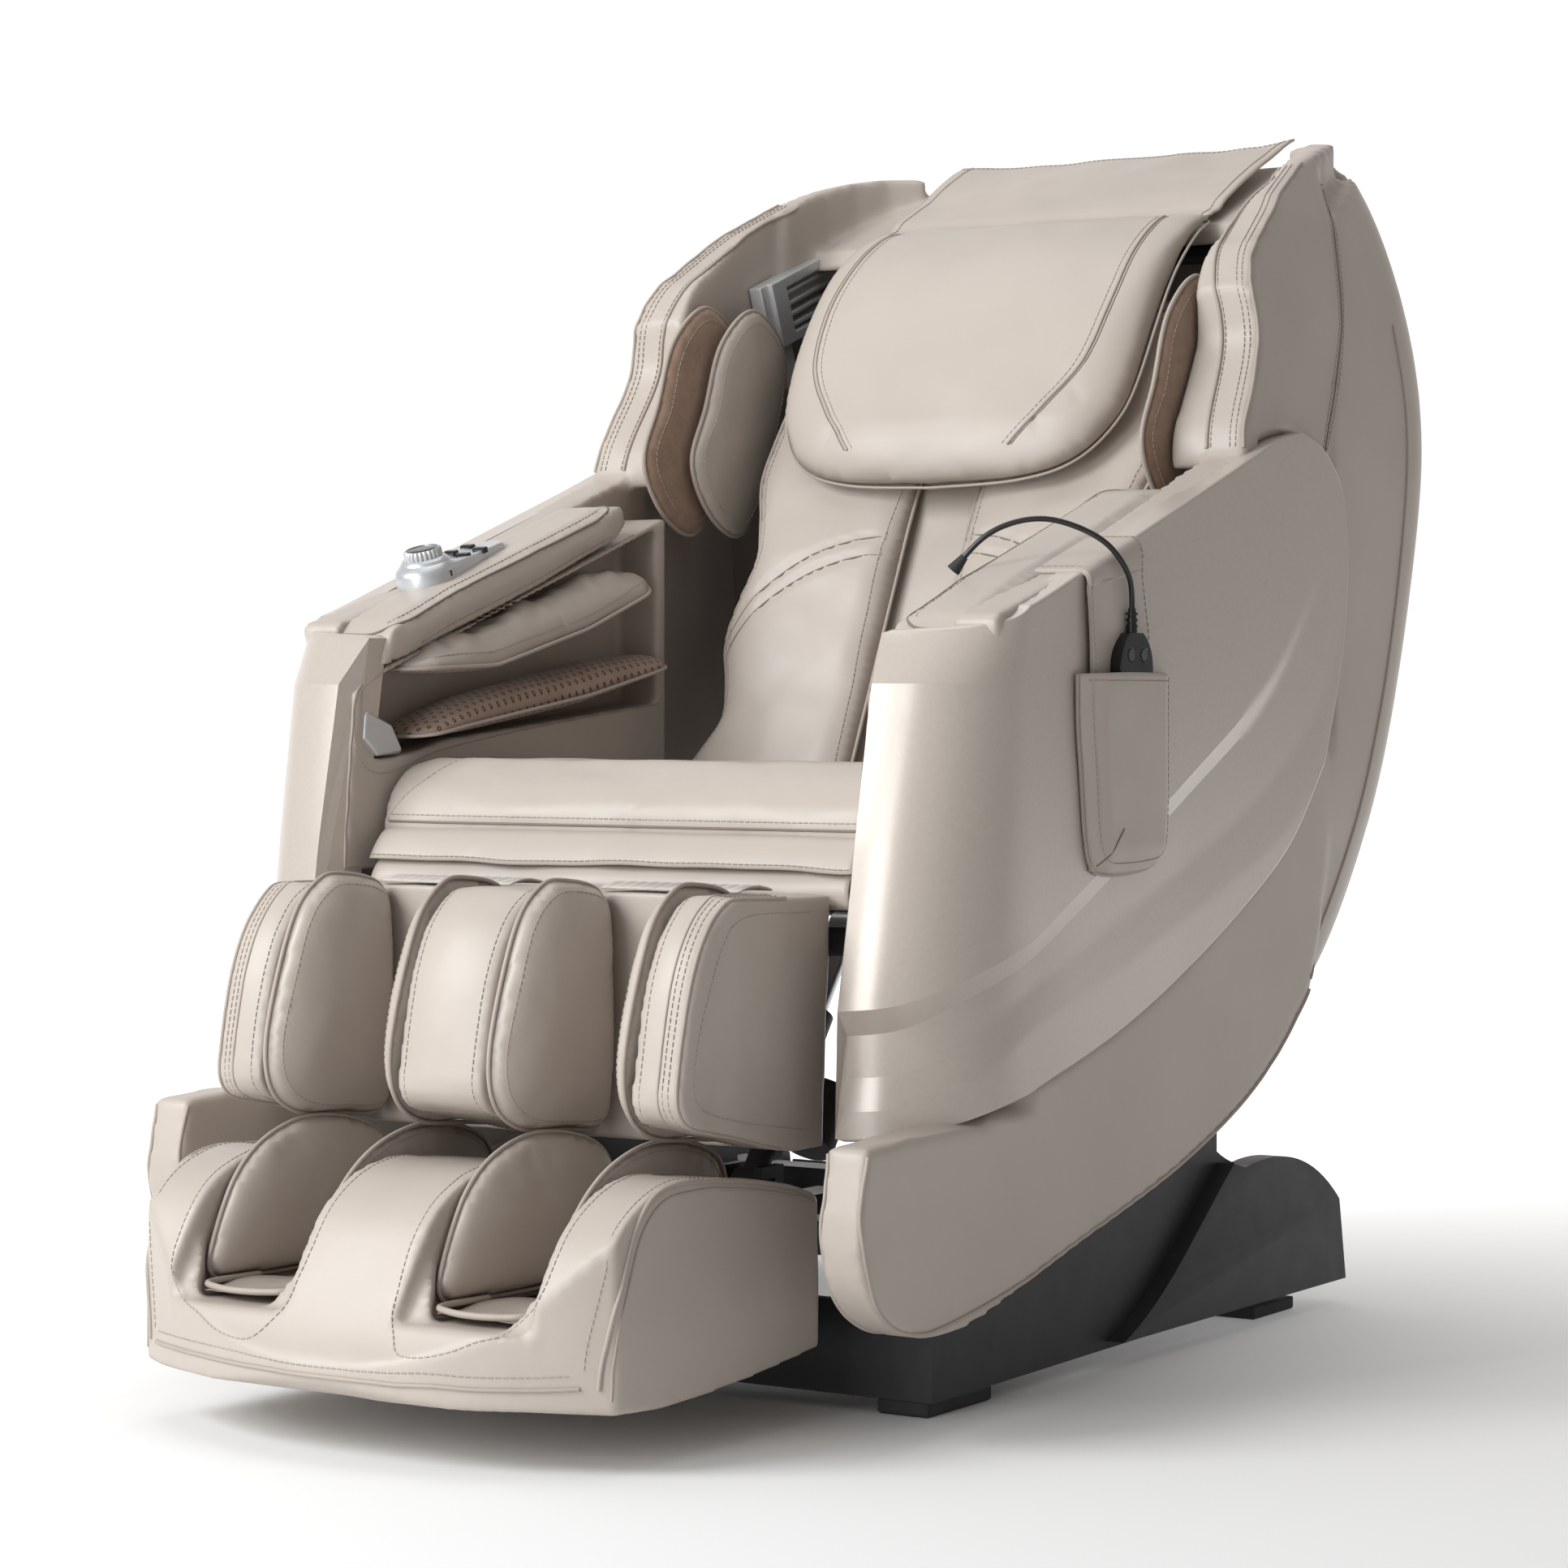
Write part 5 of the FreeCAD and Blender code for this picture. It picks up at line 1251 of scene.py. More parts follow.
# ---- head wings ------------------------------------------------------------------------------
def make_shoulders():
    shape = [(0.206, 1.000), (0.176, 0.930), (0.150, 0.868), (0.190, 0.812), (0.250, 0.800), (0.300, 0.880),
             (0.330, 0.990), (0.270, 1.040)]
    for side in (1, -1):
        name = "left" if side > 0 else "right"
        for k in (0, 1):
            corners = [Vector((y + 0.058 * k, z, 0)) for y, z in shape]
            outline = [(p.x, p.y) for p in fine(corners, 0.006, True)]
            x0 = 0.302 - k * 0.021 - 0.0095
            pad = cushion("shoulder_pad_%s_%d" % (name, k + 1), outline,
                          lambda u, v, h, s=side, x=x0: at(s * (x - h), u, v), 0.0115, 0.0085,
                          ["airbag", "suede"] if k else ["suede", "suede"], "cradle", "airbag_leather",
                          ["shoulder_bags_" + name] if k == 0 else (), 0.006, 0.026, (16.0, 0.0012, 2.0 + k),
                          split=True)
            rim = rim_of(pad)
            line = smooth_line(rim, 2, True)
            Trim.pipe(line, radius=0.0024, closed=True)
            tree = tree_of(pad.data)
            mid = at(side * x0, 0.235 + 0.058 * k, 0.915)
            for lift in (0.02, -0.02):
                inner = [p + (mid - p).normalized() * 0.010 + Vector((side * lift, 0, 0)) for p in line]
                Trim.row(laid(inner, tree, 0.0003, 3, True), closed=True)


def make_grille():
    """Bright louvred outlet: a bezel, a well darkened as painted shade, and curved slats."""
    lean = math.radians(21)
    along, rise = Vector((0, math.cos(lean), math.sin(lean))), Vector((0, -math.sin(lean), math.cos(lean)))
    corner = at(0, 0.400, 1.012)
    for side in (1, -1):
        name = "left" if side > 0 else "right"
        dressed("grille_frame_" + name, ["speaker_grille_" + name], "vent", "cradle", "silver_plastic",
                        0.0018, 30)
        # The well is a flat near-black sheet: painted shade inside the outlet.
        well = []
        for a, r in ((0.028, 0.0), (0.160, 0.0), (0.160, 0.052), (0.028, 0.052)):
            well.append(corner + along * a + rise * r + Vector((side * 0.3015, 0, 0)))
        dark = add_mesh("grille_well_" + name, well, [(0, 1, 2, 3)], "grille_dark", "cradle",
                        "silver_plastic")
        mod = dark.modifiers.new("thick", "SOLIDIFY")
        mod.thickness = 0.001


make_back()
make_seat()
make_skirts()
make_pillow()
make_flap()
make_shoulders()
make_grille()


# ---- leg rest --------------------------------------------------------------------------------
CALF_FRONT = [(-0.400, 0.4535), (-0.492, 0.456), (-0.528, 0.428), (-0.547, 0.390), (-0.560, 0.352),
              (-0.570, 0.300), (-0.566, 0.280), (-0.548, 0.268), (-0.480, 0.254), (-0.410, 0.239)]


def make_calves():
    def plug(bm):
        for x0, x1 in ((-0.2495, -0.2365), (0.2365, 0.2495)):
            yz_prism(bm, [(-0.392, 0.400), (-0.350, 0.400), (-0.350, 0.446), (-0.392, 0.446)], x0, x1)
    data = remeshed(["calf_block"], 0.004, 12, plug)
    co, nrm = coords(data), normals(data)
    bulge = np.zeros(len(co))
    for mid, half, size in ((0.0, 0.046, 0.008), (0.225, 0.025, 0.004), (-0.225, 0.025, 0.004)):
        near = np.clip(1 - ((co[:, 0] - mid) / half) ** 2, 0, 1)
        bulge += size * near * np.clip(-nrm[:, 1] + 0.5 * nrm[:, 2], 0, 1)
    side_face = np.clip(np.abs(nrm[:, 0]) - 0.6, 0, 1) * (np.abs(co[:, 0]) > 0.244)
    deep = np.clip((-0.40 + SHIFT - co[:, 1]) / 0.05, 0, 1)
    deep *= np.clip((-0.520 + SHIFT - co[:, 1]) / -0.03, 0, 1)
    bulge += side_face * 0.006 * deep
    wave = crease(co, 14.0, 0.0010, 3.3)
    set_coords(data, co + nrm * (bulge + wave)[:, None])
    block = add_object("calf_block_skin", data, "leather", "legrest", "leather", ["calf_block"])
    tree = tree_of(data)
    front = fine([at(0, *p) for p in CALF_FRONT], 0.004)

    def run(x, kind, lift=0.0005, radius=0.0018, mat="leather_seam", part=front):
        line = laid([Vector((x, p.y - 0.012, p.z)) for p in part], tree, lift, 5)
        Trim.pipe(line, "legrest", radius, mat=mat) if kind == "pipe" else Trim.row(line, "legrest")
    for s in (1, -1):
        run(s * 0.2485, "pipe")
        run(s * 0.2400, "row")
        run(s * 0.2340, "row")
        run(s * 0.2290, "pipe", 0.0002, 0.0012)
        run(s * 0.2070, "row")
        run(s * 0.0385, "row")
        edge = [at(s * 0.2500, y, z) for y, z in ((-0.372, 0.440), (-0.480, 0.440), (-0.512, 0.416),
                                                  (-0.543, 0.350), (-0.553, 0.302), (-0.540, 0.284),
                                                  (-0.480, 0.268), (-0.372, 0.252))]
        line = laid(fine(edge, 0.004), tree, 0.0003, 5)
        Trim.row(line, "legrest")

    shape = [(-0.410, 0.452), (-0.470, 0.466), (-0.500, 0.461), (-0.532, 0.432), (-0.560, 0.366),
             (-0.572, 0.312), (-0.562, 0.276), (-0.528, 0.256), (-0.470, 0.250), (-0.412, 0.250)]
    shape += [(-0.406, 0.300), (-0.406, 0.400)]
    outline = [(p.x, p.y) for p in fine([Vector((*p, 0)) for p in shape], 0.006, True)]
    bag_no = 0
    for side in (1, -1):
        for wall, into in ((0.200, -1), (0.046, 1)):
            bag_no += 1

            def place(u, v, h, s=side, w=wall, i=into):
                return at(s * (w + i * (0.0075 + h)), u, v)
            bag = cushion("calf_bag_%d" % bag_no, outline, place, 0.026, 0.006, "airbag", "legrest",
                          "airbag_leather", ["calf_bags"] if bag_no == 1 else (), 0.006, 0.050,
                          (18.0, 0.0022, bag_no * 3.7))
            rim = rim_of(bag)
            cloth_puff(bag, 3.0, 12, 0.006)
            tree_b = tree_of(bag.data)
            ring = smooth_line(rim, 2, True)
            Trim.pipe(ring, "legrest", 0.0021, True)
            mid = at(side * (wall + into * 0.03), -0.485, 0.360)
            off = Vector((side * into * 0.01, 0, 0))
            row = laid([p + (mid - p).normalized() * 0.010 + off for p in ring], tree_b, 0.0004, 3, True)
            Trim.row(row, "legrest", closed=True)
            gathers(tree_b, ring, mid, "legrest")
    for side in (1, -1):
        xs = np.linspace(0.050, 0.196, 60)
        verts, faces = [], []
        for i, x in enumerate(xs):
            for j in range(9):
                v = j / 8
                ripple = 0.0016 * math.sin(x * 520) * math.sin(math.pi * v) + 0.0009 * math.sin(v * 25)
                crown = 0.003 * math.sin(math.pi * v)
                verts.append(at(side * x, -0.404 + v * 0.052, 0.4565 + ripple + crown))
        for i in range(59):
            for j in range(8):
                faces.append((i * 9 + j, (i + 1) * 9 + j, (i + 1) * 9 + j + 1, i * 9 + j + 1))
        band = add_mesh("gathered_band_%s" % ("left" if side > 0 else "right"), verts, faces, "elastic",
                        "legrest", "leather")
        mod = band.modifiers.new("thick", "SOLIDIFY")
        mod.thickness, mod.offset = 0.0016, 0
        seam = straight([at(side * 0.125, -0.4045, 0.448), at(side * 0.125, -0.4045, 0.262)])
        # A thin dark line down the middle seam: painted shade in its crevice.
        Trim.pipe(laid(seam, tree, 0.0003, 2), "legrest", 0.0009, mat="leather_dark")


# ---- foot box --------------------------------------------------------------------------------
FOOT_TOP = [(-0.372, 0.197), (-0.400, 0.206), (-0.470, 0.219), (-0.535, 0.226), (-0.600, 0.224),
            (-0.650, 0.200), (-0.690, 0.146), (-0.715, 0.112), (-0.732, 0.088), (-0.738, 0.070)]


def make_feet():
    def corners(bm):
        """Round the front corners of each well."""
        for wall, into in ((0.058, 1), (0.192, -1)):
            for s in (1, -1):
                spots = [(wall, -0.650, 0.172), (wall, -0.697, 0.112), (wall + into * 0.030, -0.697, 0.112)]
                low = [bm.verts.new(at(s * x, y, 0.095)) for x, y, z in spots]
                top = [bm.verts.new(at(s * x, y, z)) for x, y, z in spots]
                for i in range(3):
                    j = (i + 1) % 3
                    bm.faces.new((low[i], low[j], top[j], top[i]))
                bm.faces.new(low[::-1])
                bm.faces.new(top)
    data = remeshed(["foot_box"], 0.004, 34, corners)
    co, nrm = coords(data), normals(data)
    wave = crease(co, 9.0, 0.0016, 8.3)
    set_coords(data, co + nrm * wave[:, None])
    box = add_object("foot_box_skin", data, "leather", "footbox", "leather", ["foot_box"])
    tree = tree_of(data)
    top = fine([at(0, *p) for p in FOOT_TOP], 0.004)
    w0, w1 = 0.060, 0.190
    for s in (1, -1):
        edge = [Vector((s * 0.2505, p.y + max(0.0, (-0.60 + SHIFT - p.y) * 0.35), p.z)) for p in top]
        Trim.pipe(laid(edge, tree, 0.0006, 5), "footbox", 0.0021)
        inner = [p - Vector((s * 0.0095, 0, 0)) + Vector((0, -0.01, 0.01)) for p in edge]
        Trim.row(laid(inner, tree, 0.0004, 5), "footbox")
        outer = [p + Vector((s * 0.01, 0.006, -0.0085)) for p in edge]
        Trim.pipe(laid(outer, tree, 0.0002, 5), "footbox", 0.0012)
        rim = [at(s * (w0 - 0.011), -0.420, 0.30), at(s * (w0 - 0.011), -0.600, 0.30),
               at(s * (w0 - 0.010), -0.660, 0.24), at(s * (w0 - 0.007), -0.715, 0.166),
               at(s * (w0 + 0.010), -0.760, 0.131), at(s * 0.125, -0.790, 0.121),
               at(s * (w1 - 0.010), -0.760, 0.131), at(s * (w1 + 0.007), -0.715, 0.166),
               at(s * (w1 + 0.010), -0.660, 0.24), at(s * (w1 + 0.011), -0.600, 0.30),
               at(s * (w1 + 0.011), -0.420, 0.30)]
        Trim.row(laid(fine(rim, 0.004), tree, 0.0004, 6), "footbox")
    bow = [at(x, -0.80 + 0.079 * (x / 0.25) ** 2, 0.070) for x in np.linspace(-0.249, 0.249, 30)]
    low = laid(fine(bow, 0.005), tree, 0.0005, 5)
    Trim.pipe(low, "footbox", 0.0020)
    Trim.row(laid([p + Vector((0, -0.01, 0.010)) for p in low], tree, 0.0004, 5), "footbox")

    shape = [(-0.655, 0.128), (-0.648, 0.165), (-0.622, 0.208), (-0.580, 0.238), (-0.520, 0.252),
             (-0.455, 0.244), (-0.415, 0.222), (-0.402, 0.170), (-0.402, 0.124), (-0.500, 0.120),
             (-0.600, 0.121)]
    outline = [(p.x, p.y) for p in fine([Vector((*p, 0)) for p in shape], 0.006, True)]
    k = 0
    for side in (1, -1):
        for wall, into in ((0.190, -1), (0.060, 1)):
            k += 1

            def place(u, v, h, s=side, w=wall, i=into):
                lean = 0.004 * max(0.0, (v - 0.19) / 0.06)
                return at(s * (w + i * (0.0065 + h - lean)), u, v)
            liner = cushion("foot_liner_%d" % k, outline, place, 0.013, 0.004, "airbag", "footbox",
                            "airbag_leather", ["foot_liners"] if k == 1 else (), 0.006, 0.030,
                            (20.0, 0.0018, 11.0 + k * 2.1))
            rim = rim_of(liner)
            cloth_puff(liner, 2.0, 10, 0.003)
            tree_l = tree_of(liner.data)
            ring = smooth_line(rim, 2, True)
            Trim.pipe(ring, "footbox", 0.0021, True)
            mid = at(side * (wall + into * 0.015), -0.52, 0.18)
            Trim.row(laid([p + (mid - p).normalized() * 0.009 for p in ring], tree_l, 0.0004, 3, True),
                     "footbox", closed=True)
    for side in (1, -1):
        lip = fine([at(side * x, y, z) for x, y, z in (
            (0.074, -0.600, 0.122), (0.078, -0.668, 0.124), (0.098, -0.683, 0.123), (0.125, -0.687, 0.1225),
            (0.152, -0.683, 0.123), (0.172, -0.668, 0.124), (0.176, -0.600, 0.122))], 0.004)
        Trim.pipe(lip, "footbox", 0.0030)
        verts, faces = [], []
        for i, x in enumerate(np.linspace(0.077, 0.173, 30)):
            for j, y in enumerate(np.linspace(-0.682, -0.405, 60)):
                bow_in = 0.010 * ((x - 0.125) / 0.048) ** 2 if j == 0 else 0
                z = 0.119 + 0.0022 * math.sin(y * 60 + 2 * math.sin(x * 40)) + 0.0012 * math.sin(x * 160)
                z -= 0.010 * max(0.0, (y + 0.62) / 0.215)
                verts.append(at(side * x, y + bow_in, z))
        for i in range(29):
            for j in range(59):
                faces.append((i * 60 + j, (i + 1) * 60 + j, (i + 1) * 60 + j + 1, i * 60 + j + 1))
        sole = add_mesh("sole_lining_%s" % ("left" if side > 0 else "right"), verts, faces, "airbag",
                        "footbox", "airbag_leather")
        mod = sole.modifiers.new("thick", "SOLIDIFY")
        mod.thickness, mod.offset = 0.0016, 0


make_calves()
make_feet()


# ---- forearm air bags ------------------------------------------------------------------------
def make_forearm_bags():
    for side in (1, -1):
        name = "left" if side > 0 else "right"
        upper = rounded([Vector((-0.266, 0.258)), Vector((0.128, 0.253)), Vector((0.128, 0.332)),
                         Vector((-0.266, 0.332))], [0.05, 0.07, 0.01, 0.01])

        def up_place(u, v, h, s=side):
            base = np.interp(u, [-0.276, -0.149, 0.0, 0.113, 0.14], [0.6505, 0.6555, 0.693, 0.733, 0.748])
            return at(s * v, u, float(base) + h)

        def up_crown(pts):
            return np.interp(pts[:, 0], [-0.27, -0.18, 0.06, 0.12], [0.014, 0.032, 0.042, 0.030])
        bag = cushion("forearm_bag_upper_" + name, [(p.x, p.y) for p in upper], up_place, up_crown, 0.0045,
                      ["airbag", "dot"], "cradle", "airbag_leather", ["forearm_bags_" + name], 0.005, 0.034,
                      (30.0, 0.0060, 4.4 + side), True, True)
        rim = rim_of(bag)
        cloth_puff(bag, 2.0, 10, 0.003)
        Trim.pipe(smooth_line(rim, 2, True), radius=0.0020, closed=True)
        tree = tree_of(bag.data)
        inner = [p + Vector((side * 0.0075, 0, 0.012)) for p in rim if abs(p.x) < 0.275]
        inner.sort(key=lambda p: p.y)
        Trim.row(laid(inner, tree, 0.0004, 4))

        lower = rounded([Vector((-0.254, 0.256)), Vector((0.156, 0.252)), Vector((0.156, 0.332)),
                         Vector((-0.254, 0.332))], [0.03, 0.045, 0.01, 0.01])

        def low_place(u, v, h, s=side):
            base = np.interp(u, [-0.26, -0.20, 0.0, 0.15], [0.5855, 0.5965, 0.626, 0.657])
            return at(s * v, u, float(base) + h)

        def low_crown(pts):
            return np.interp(pts[:, 0], [-0.25, -0.17, 0.05, 0.14], [0.012, 0.0225, 0.024, 0.018])
        bag = cushion("forearm_bag_lower_" + name, [(p.x, p.y) for p in lower], low_place, low_crown, 0.006,
                      "dot", "cradle", "dot_cloth", (), 0.005, 0.030, (22.0, 0.0022, 6.1 + side), True)
        rim = rim_of(bag)
        cloth_puff(bag, 2.0, 10, 0.003)
        Trim.pipe(smooth_line(rim, 2, True), radius=0.0019, closed=True)
        dressed("arm_bracket_" + name, ["arm_trim_" + name], "silver", "cradle", "silver_plastic",
                0.0035, 30, 4)


# ---- control pod -----------------------------------------------------------------------------
POD = (-0.334, -0.120, 0.7525)
POD_SLOPE = math.radians(18.4)
POD_ALONG = Vector((0, math.cos(POD_SLOPE), math.sin(POD_SLOPE)))
POD_NORMAL = Vector((0, -math.sin(POD_SLOPE), math.cos(POD_SLOPE)))


def on_pod(across, along, height):
    return at(*POD) + Vector((across, 0, 0)) + POD_ALONG * along + POD_NORMAL * height


def lathe(name, rings, sides, spot, mats, body, slot, replaces=(), ribs=None, sharp=40):
    """A turned piece on the pod's normal: (radius, height) rings, with optional flutes."""
    verts, faces = [], []
    for k, (r, h) in enumerate(rings):
        for i in range(sides):
            t = 2 * math.pi * i / sides
            rr = r
            if ribs and ribs[1] <= k <= ribs[2]:
                rr = r - ribs[3] * (0.5 - 0.5 * math.cos(t * ribs[0])) ** 3
            verts.append(on_pod(spot[0] + rr * math.cos(t), spot[1] + rr * math.sin(t), h))
    for k in range(len(rings) - 1):
        for i in range(sides):
            j = (i + 1) % sides
            faces.append((k * sides + i, k * sides + j, (k + 1) * sides + j, (k + 1) * sides + i))
    faces.append(tuple(range(sides))[::-1])
    faces.append(tuple((len(rings) - 1) * sides + i for i in range(sides)))
    return add_mesh(name, verts, faces, mats, body, slot, replaces, True, sharp)


def make_pod():
    def half(t):
        """Half width of the teardrop at a distance along it."""
        front, back, rear = -0.045, 0.058, 0.017
        if t < front:
            return math.sqrt(max(0.0, 0.0285 ** 2 - (t - front) ** 2))
        if t < back:
            s = (t - front) / (back - front)
            s = s * s * (3 - 2 * s)
            return 0.0285 + (rear - 0.0285) * s
        return math.sqrt(max(0.0, rear ** 2 - (t - back) ** 2))
    ts = [-0.0735 + 0.1485 * (0.5 - 0.5 * math.cos(math.pi * i / 60)) for i in range(61)]
    right = [(half(t), t) for t in ts]
    outline = right + [(-w, t) for w, t in reversed(right[1:-1])]
    outline = [p for p, q in zip(outline, [(9, 9)] + outline) if math.dist(p, q) > 1e-5]
    n = len(outline)

    def top(t):
        fall = np.interp(t, [-0.075, -0.045, 0.0, 0.04, 0.075], [1.0, 0.95, 0.55, 0.15, 0.0])
        return 0.0075 + 0.0085 * float(fall)
    rings = []
    centre = (0.0, -0.012)
    for scale, drop in ((1.03, -0.012), (1.03, 0.0), (1.015, 0.62), (0.99, 0.86), (0.95, 0.97), (0.88, 1.0),
                        (0.70, 1.0), (0.45, 1.0), (0.2, 1.0)):
        ring = []
        for x, t in outline:
            px, pt = centre[0] + (x - centre[0]) * scale, centre[1] + (t - centre[1]) * scale
            height = -0.006 if drop < 0 else top(t) * drop
            far = math.hypot(px, pt + 0.042)
            if drop >= 1.0:
                height += 0.006 * max(0.0, 1 - max(0.0, far - 0.021) / 0.010) ** 1.5
            ring.append(on_pod(px, pt, height))
        rings.append(ring)
    verts = [p for r in rings for p in r] + [on_pod(centre[0], centre[1], top(centre[1]))]
    faces = []
    for k in range(len(rings) - 1):
        for i in range(n):
            j = (i + 1) % n
            faces.append((k * n + i, k * n + j, (k + 1) * n + j, (k + 1) * n + i))
    last = (len(rings) - 1) * n
    for i in range(n):
        faces.append((last + i, last + (i + 1) % n, len(verts) - 1))
    pod = add_mesh("pod_housing", verts, faces, "silver", "cradle", "silver_plastic", ["control_pod"],
                   True, 50)
    bm = bmesh.new()
    bm.from_mesh(pod.data)
    bmesh.ops.recalc_face_normals(bm, faces=bm.faces)
    bm.to_mesh(pod.data)
    bm.free()
    lathe("pod_collar", [(0.0265, 0.008), (0.0262, 0.016), (0.0235, 0.0205), (0.0212, 0.0232),
                         (0.0195, 0.0238)], 64, (0, -0.042), "silver", "cradle", "silver_plastic")
    lathe("dial", [(0.0150, 0.0185), (0.0182, 0.0192), (0.0192, 0.0205), (0.0192, 0.0290), (0.0186, 0.0312),
                   (0.0168, 0.0325), (0.0160, 0.0323), (0.0157, 0.0312)], 192, (0, -0.042), "silver", "knob",
          "silver_plastic", ["control_knob"], (24, 1, 4, 0.0016))
    lathe("dial_cap", [(0.0156, 0.0300), (0.0156, 0.0316), (0.0148, 0.0321), (0.006, 0.0322),
                       (0.001, 0.0322)], 96, (0, -0.042), "gloss", "knob", "black_gloss")
    for i, (bx, by) in enumerate(((0.014, 0.002), (-0.012, 0.016), (0.014, 0.030), (-0.012, 0.044))):
        z0 = top(by)
        pts = rounded([Vector((bx - 0.0078, by - 0.0043)), Vector((bx + 0.0078, by - 0.0043)),
                       Vector((bx + 0.0078, by + 0.0043)), Vector((bx - 0.0078, by + 0.0043))], 0.003)
        m = len(pts)
        verts, faces = [], []
        for scale, h in ((1.0, z0 - 0.003), (1.0, z0 + 0.0012), (0.93, z0 + 0.0021), (0.8, z0 + 0.0024)):
            for p in pts:
                verts.append(on_pod(bx + (p.x - bx) * scale, by + (p.y - by) * scale, h))
        for k in range(3):
            for q in range(m):
                r = (q + 1) % m
                faces.append((k * m + q, k * m + r, (k + 1) * m + r, (k + 1) * m + q))
        faces.append(tuple(3 * m + q for q in range(m)))
        faces.append(tuple(range(m))[::-1])
        add_mesh("pod_key_%d" % (i + 1), verts, faces, "gloss", "pod_button_%d" % (i + 1), "black_gloss",
                 ["pod_button_%d" % (i + 1)], True, 40)
    # charging socket on the inner side of the housing's front
    c = on_pod(0.0265, -0.046, 0.0065)
    out = (Vector((0.93, 0, 0)) - POD_ALONG * 0.28).normalized()
    side = out.cross(POD_NORMAL).normalized()

    def plate(name, w, h, near, far_, mat):
        verts = []
        for d in (near, far_):
            for a, b in ((-w, -h), (w, -h), (w, h), (-w, h)):
                verts.append(c + side * a + POD_NORMAL * b + out * d)
        quads = [(0, 1, 2, 3), (7, 6, 5, 4), (0, 4, 5, 1), (1, 5, 6, 2), (2, 6, 7, 3), (3, 7, 4, 0)]
        return add_mesh(name, verts, quads, mat, "cradle", "silver_plastic", (), False)
    plate("port_rim", 0.0078, 0.0038, -0.006, 0.0012, "silver")
    plate("port_hole", 0.0066, 0.0026, -0.006, 0.00135, "gloss")
    plate("port_tongue", 0.0050, 0.0008, -0.006, 0.0016, "silver")


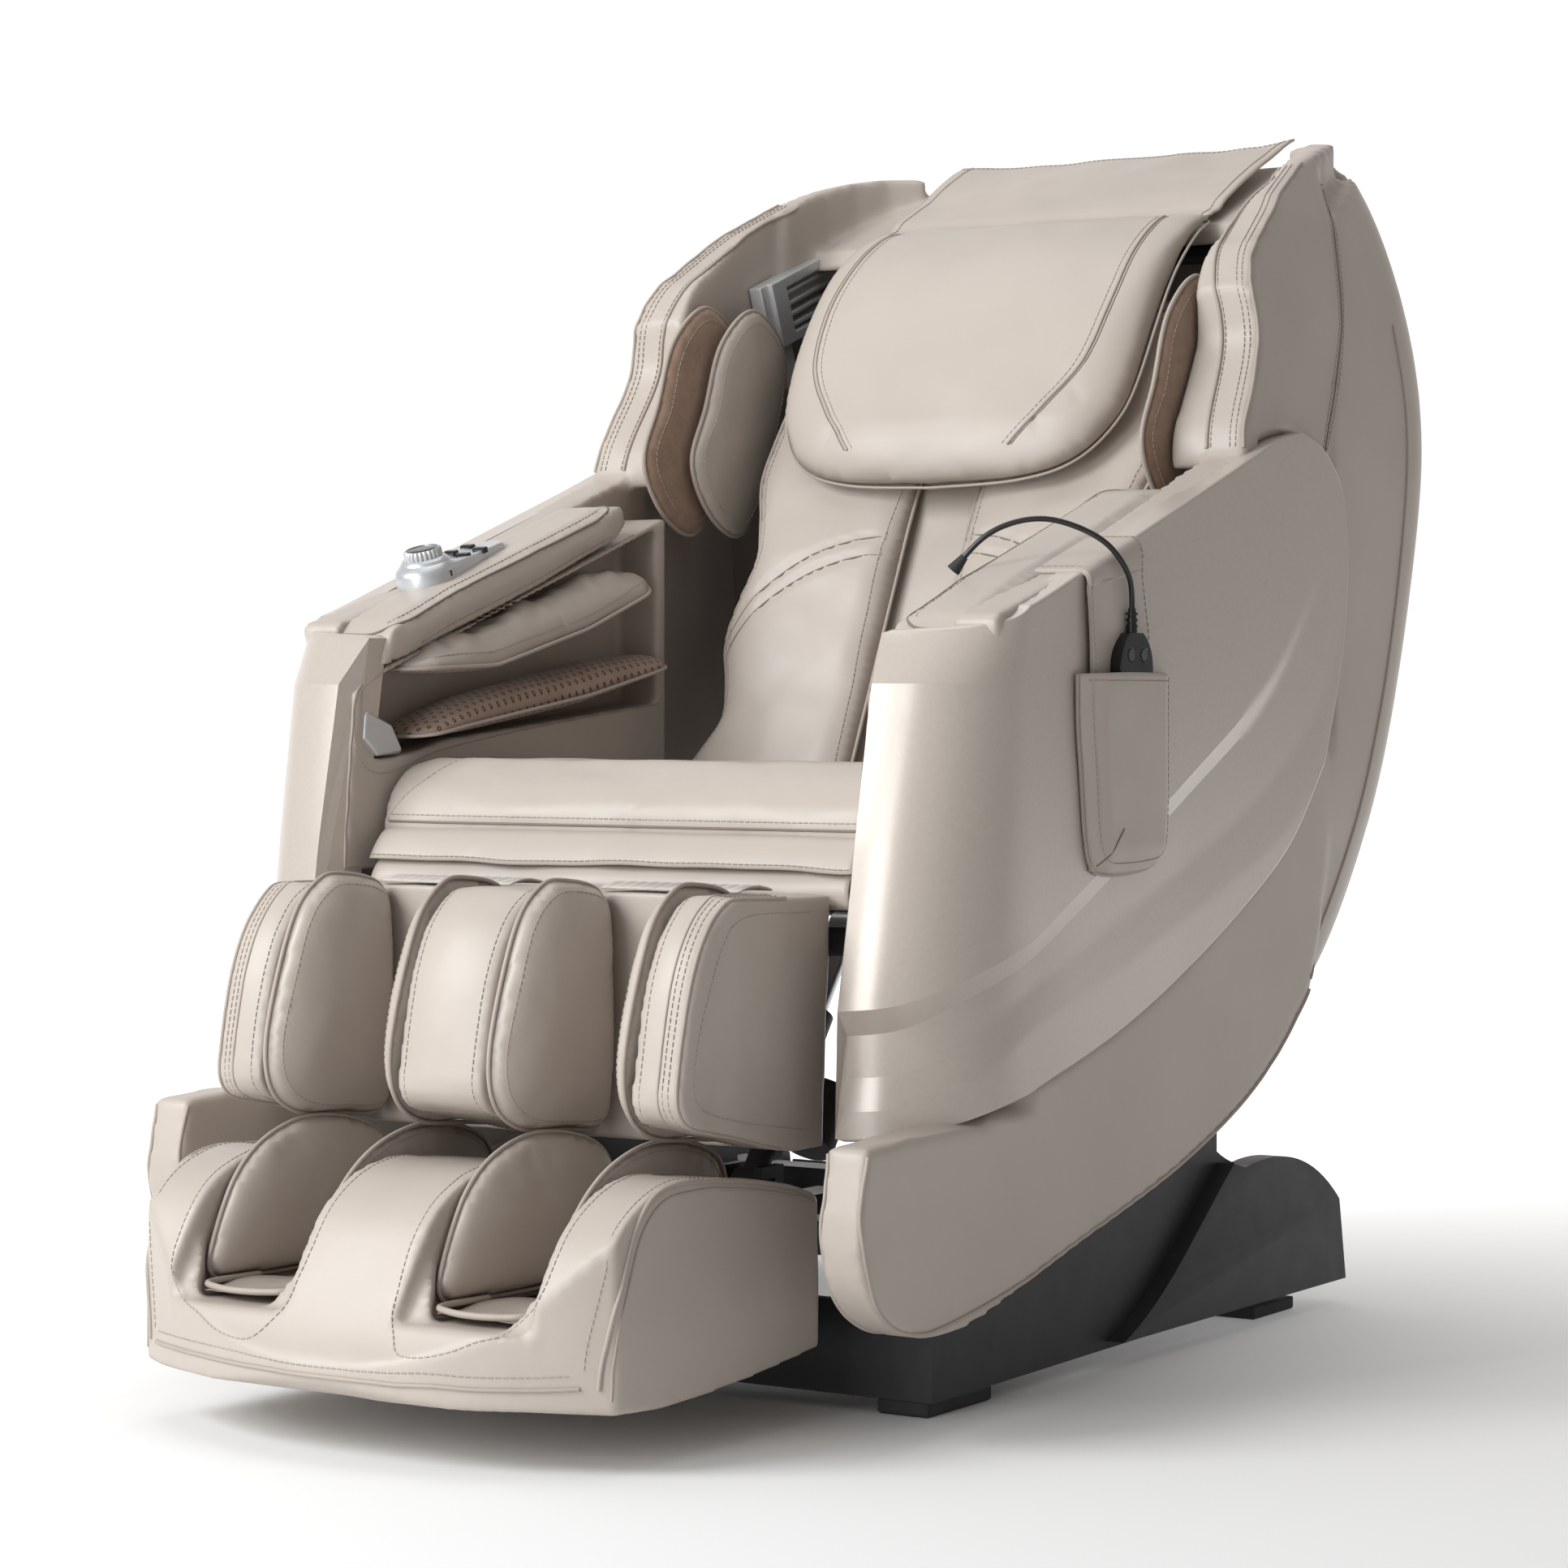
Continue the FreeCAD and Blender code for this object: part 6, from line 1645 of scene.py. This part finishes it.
# ---- handset, pouch and strap ----------------------------------------------------------------
def make_pouch():
    front, rear = -0.176, -0.012
    shape = [(front, 0.6445), (front + 0.001, 0.600), (front + 0.006, 0.560), (front + 0.014, 0.500),
             (front + 0.024, 0.474), (front + 0.044, 0.4665), (front + 0.090, 0.4655),
             (rear - 0.026, 0.4705),
             (rear - 0.006, 0.486), (rear + 0.0, 0.520), (rear + 0.0, 0.600), (rear, 0.6465)]
    side_line = [(p.x, p.y) for p in fine([Vector((*p, 0)) for p in shape], 0.005)]
    # front sheet: bulged, open at the top; the rear sheet lies on the panel
    us, vs = np.linspace(0, 1, 34), np.linspace(0, 1, 44)
    left = [(p[0], p[1]) for p in side_line]
    verts, faces = [], []
    lows = np.array(left)
    bottom_i = int(np.argmin(lows[:, 1]))
    lf, rt = lows[:bottom_i + 1], lows[bottom_i:][::-1]

    def edge_at(line, v):
        zz = 0.4655 + (0.6450 - 0.4655) * v
        order = np.argsort(line[:, 1])
        return float(np.interp(zz, line[order, 1], line[order, 0])), zz
    for j, v in enumerate(vs):
        y0, z = edge_at(lf, v)
        y1, _ = edge_at(rt, v)
        for i, u in enumerate(us):
            t = 1 - abs(2 * u - 1)
            bulge = 0.0172 * min(1.0, t / 0.30) ** 0.55 * min(1.0, (v + 0.02) / 0.14) ** 0.55
            ripple = 0.0008 * noise.noise(Vector((u * 3, v * 5, 2.2)))
            x = 0.4005 + bulge * (0.92 + 0.08 * v) + ripple * t
            verts.append(at(x, y0 + (y1 - y0) * u, z + 0.0015 * math.sin(u * math.pi) * v))
    n = len(us)
    for j in range(len(vs) - 1):
        for i in range(n - 1):
            faces.append((j * n + i, j * n + i + 1, (j + 1) * n + i + 1, (j + 1) * n + i))
    pouch = add_mesh("handset_pouch", verts, faces, "leather", "cradle", "leather", ["handset_pocket"])
    mod = pouch.modifiers.new("thick", "SOLIDIFY")
    mod.thickness, mod.offset = 0.0022, -1
    solid_mesh(pouch)
    tree = tree_of(pouch.data)
    rim = [at(0.4012, *p) for p in side_line]
    Trim.pipe(smooth_line(rim, 2), radius=0.0018)
    inset = []
    mid = at(0.418, -0.094, 0.57)
    for p in rim:
        q = p + (Vector((p.x, mid.y, mid.z)) - p).normalized() * 0.0065
        inset.append(q + Vector((0.02, 0, 0)))
    Trim.row(laid(inset, tree, 0.0004, 3))
    hem = [at(0.43, y, 0.6390) for y in np.linspace(front + 0.006, rear - 0.006, 60)]
    Trim.row(cast(hem, tree, (-1, 0, 0), 0.0004, 2))
    dart = fine([at(0.43, front + y, z) for y, z in ((0.026, 0.472), (0.044, 0.492), (0.060, 0.507))],
                0.003)
    # A thin dark line along the dart: painted shade in its fold.
    Trim.pipe(cast(dart, tree, (-1, 0, 0), 0.0001, 2), radius=0.0009, mat="leather_dark")

    # strap: up the outside, over the arm and down to the inner edge
    path = [(0.4008, 0.470, 0.0), (0.4012, 0.560, 0.0), (0.4016, 0.640, 0.0), (0.4018, 0.690, 0.0),
            (0.4018, 0.722, 0.35), (0.4010, 0.7405, 0.8), (0.3960, 0.7475, 1.0), (0.3850, 0.7485, 1.0),
            (0.350, 0.7490, 1.0), (0.300, 0.7490, 1.0), (0.2875, 0.7485, 1.0), (0.2835, 0.7440, 1.0)]
    spine = fine([Vector(p) for p in path], 0.004)
    verts, faces = [], []
    m = 26
    for p in spine:
        y0 = float(np.interp(p.y, [0.64, 0.72, 0.75], [-0.152, -0.156, -0.157]))
        y1 = float(np.interp(p.y, [0.64, 0.68, 0.75], [-0.046, -0.044, -0.059]))
        for k in range(m):
            y = y0 + (y1 - y0) * k / (m - 1)
            z = p.y + p.z * (y + 0.108) * 0.3333
            wave = 0.0009 * math.sin(k * 0.5 + p.y * 40) if p.z < 0.5 else 0.0
            verts.append(at(p.x + wave, y, z + 0.0026 * p.z))
    for i in range(len(spine) - 1):
        for k in range(m - 1):
            faces.append((i * m + k, i * m + k + 1, (i + 1) * m + k + 1, (i + 1) * m + k))
    strap = add_mesh("pouch_strap", verts, faces, "leather", "cradle", "leather")
    mod = strap.modifiers.new("thick", "SOLIDIFY")
    mod.thickness, mod.offset = 0.0022, 1
    solid_mesh(strap)
    tree = tree_of(strap.data)
    for k in (1, m - 2):
        line = [verts[i * m + k] for i in range(len(spine))]
        out = [p + Vector((0.02, 0, 0) if p.z < 0.735 and p.x > 0.39 else (0.004, 0, 0.02)) for p in line]
        Trim.row(laid(out, tree, 0.0004, 3))
    for k in (0, m - 1):
        Trim.pipe([verts[i * m + k] for i in range(len(spine))], radius=0.0013)
    dressed("remote_body", ["handset"], "gloss", "cradle", "black_gloss", 0.0034, 40, 5)
    for n_ in ("front", "rear"):
        dressed("remote_key_" + n_, ["handset_button_" + n_], "case", "handset_button_" + n_, "black_gloss",
                0.0008, 40, 3)


make_forearm_bags()
make_pod()
make_pouch()


# ---- rigid pieces carried over with their finish ---------------------------------------------
LOOKS = {"base_frame": "frame", "power_switch": "gloss",
         "transport_wheel_left": "rubber", "transport_wheel_right": "rubber",
         "glide_carriage": "frame", "recline_motor": "case", "recline_rod": "steel",
         "seat_frame": "frame", "track_rails": "steel", "massage_carriage": "case",
         "massage_arms": "steel", "roller_pair_upper": "roller", "roller_pair_lower": "roller",
         "legrest_frame": "frame", "foot_roller": "roller", "air_pump": "case", "cord_gland": "rubber",
         "cord_relief": "jacket"}


def carry_over():
    """Every CAD node still shown gets its finish."""
    for name, node in NODES.items():
        if node.hide_render:
            continue
        node.data.materials.clear()
        node.data.materials.append(M[LOOKS.get(name, "leather")])


for piece, node, look, body, slot, bevel in (
        ("base_casing", "base_cover", "base", "base", "base_plastic", 0.0022),
        ("base_feet", "floor_pads", "rubber", "base", "rubber", 0.0015),
        ("power_unit", "power_box", "case", "base", "case_plastic", 0.0010)):
    dressed(piece, [node], look, body, slot, bevel, 35, 3)
carry_over()
Trim.make()
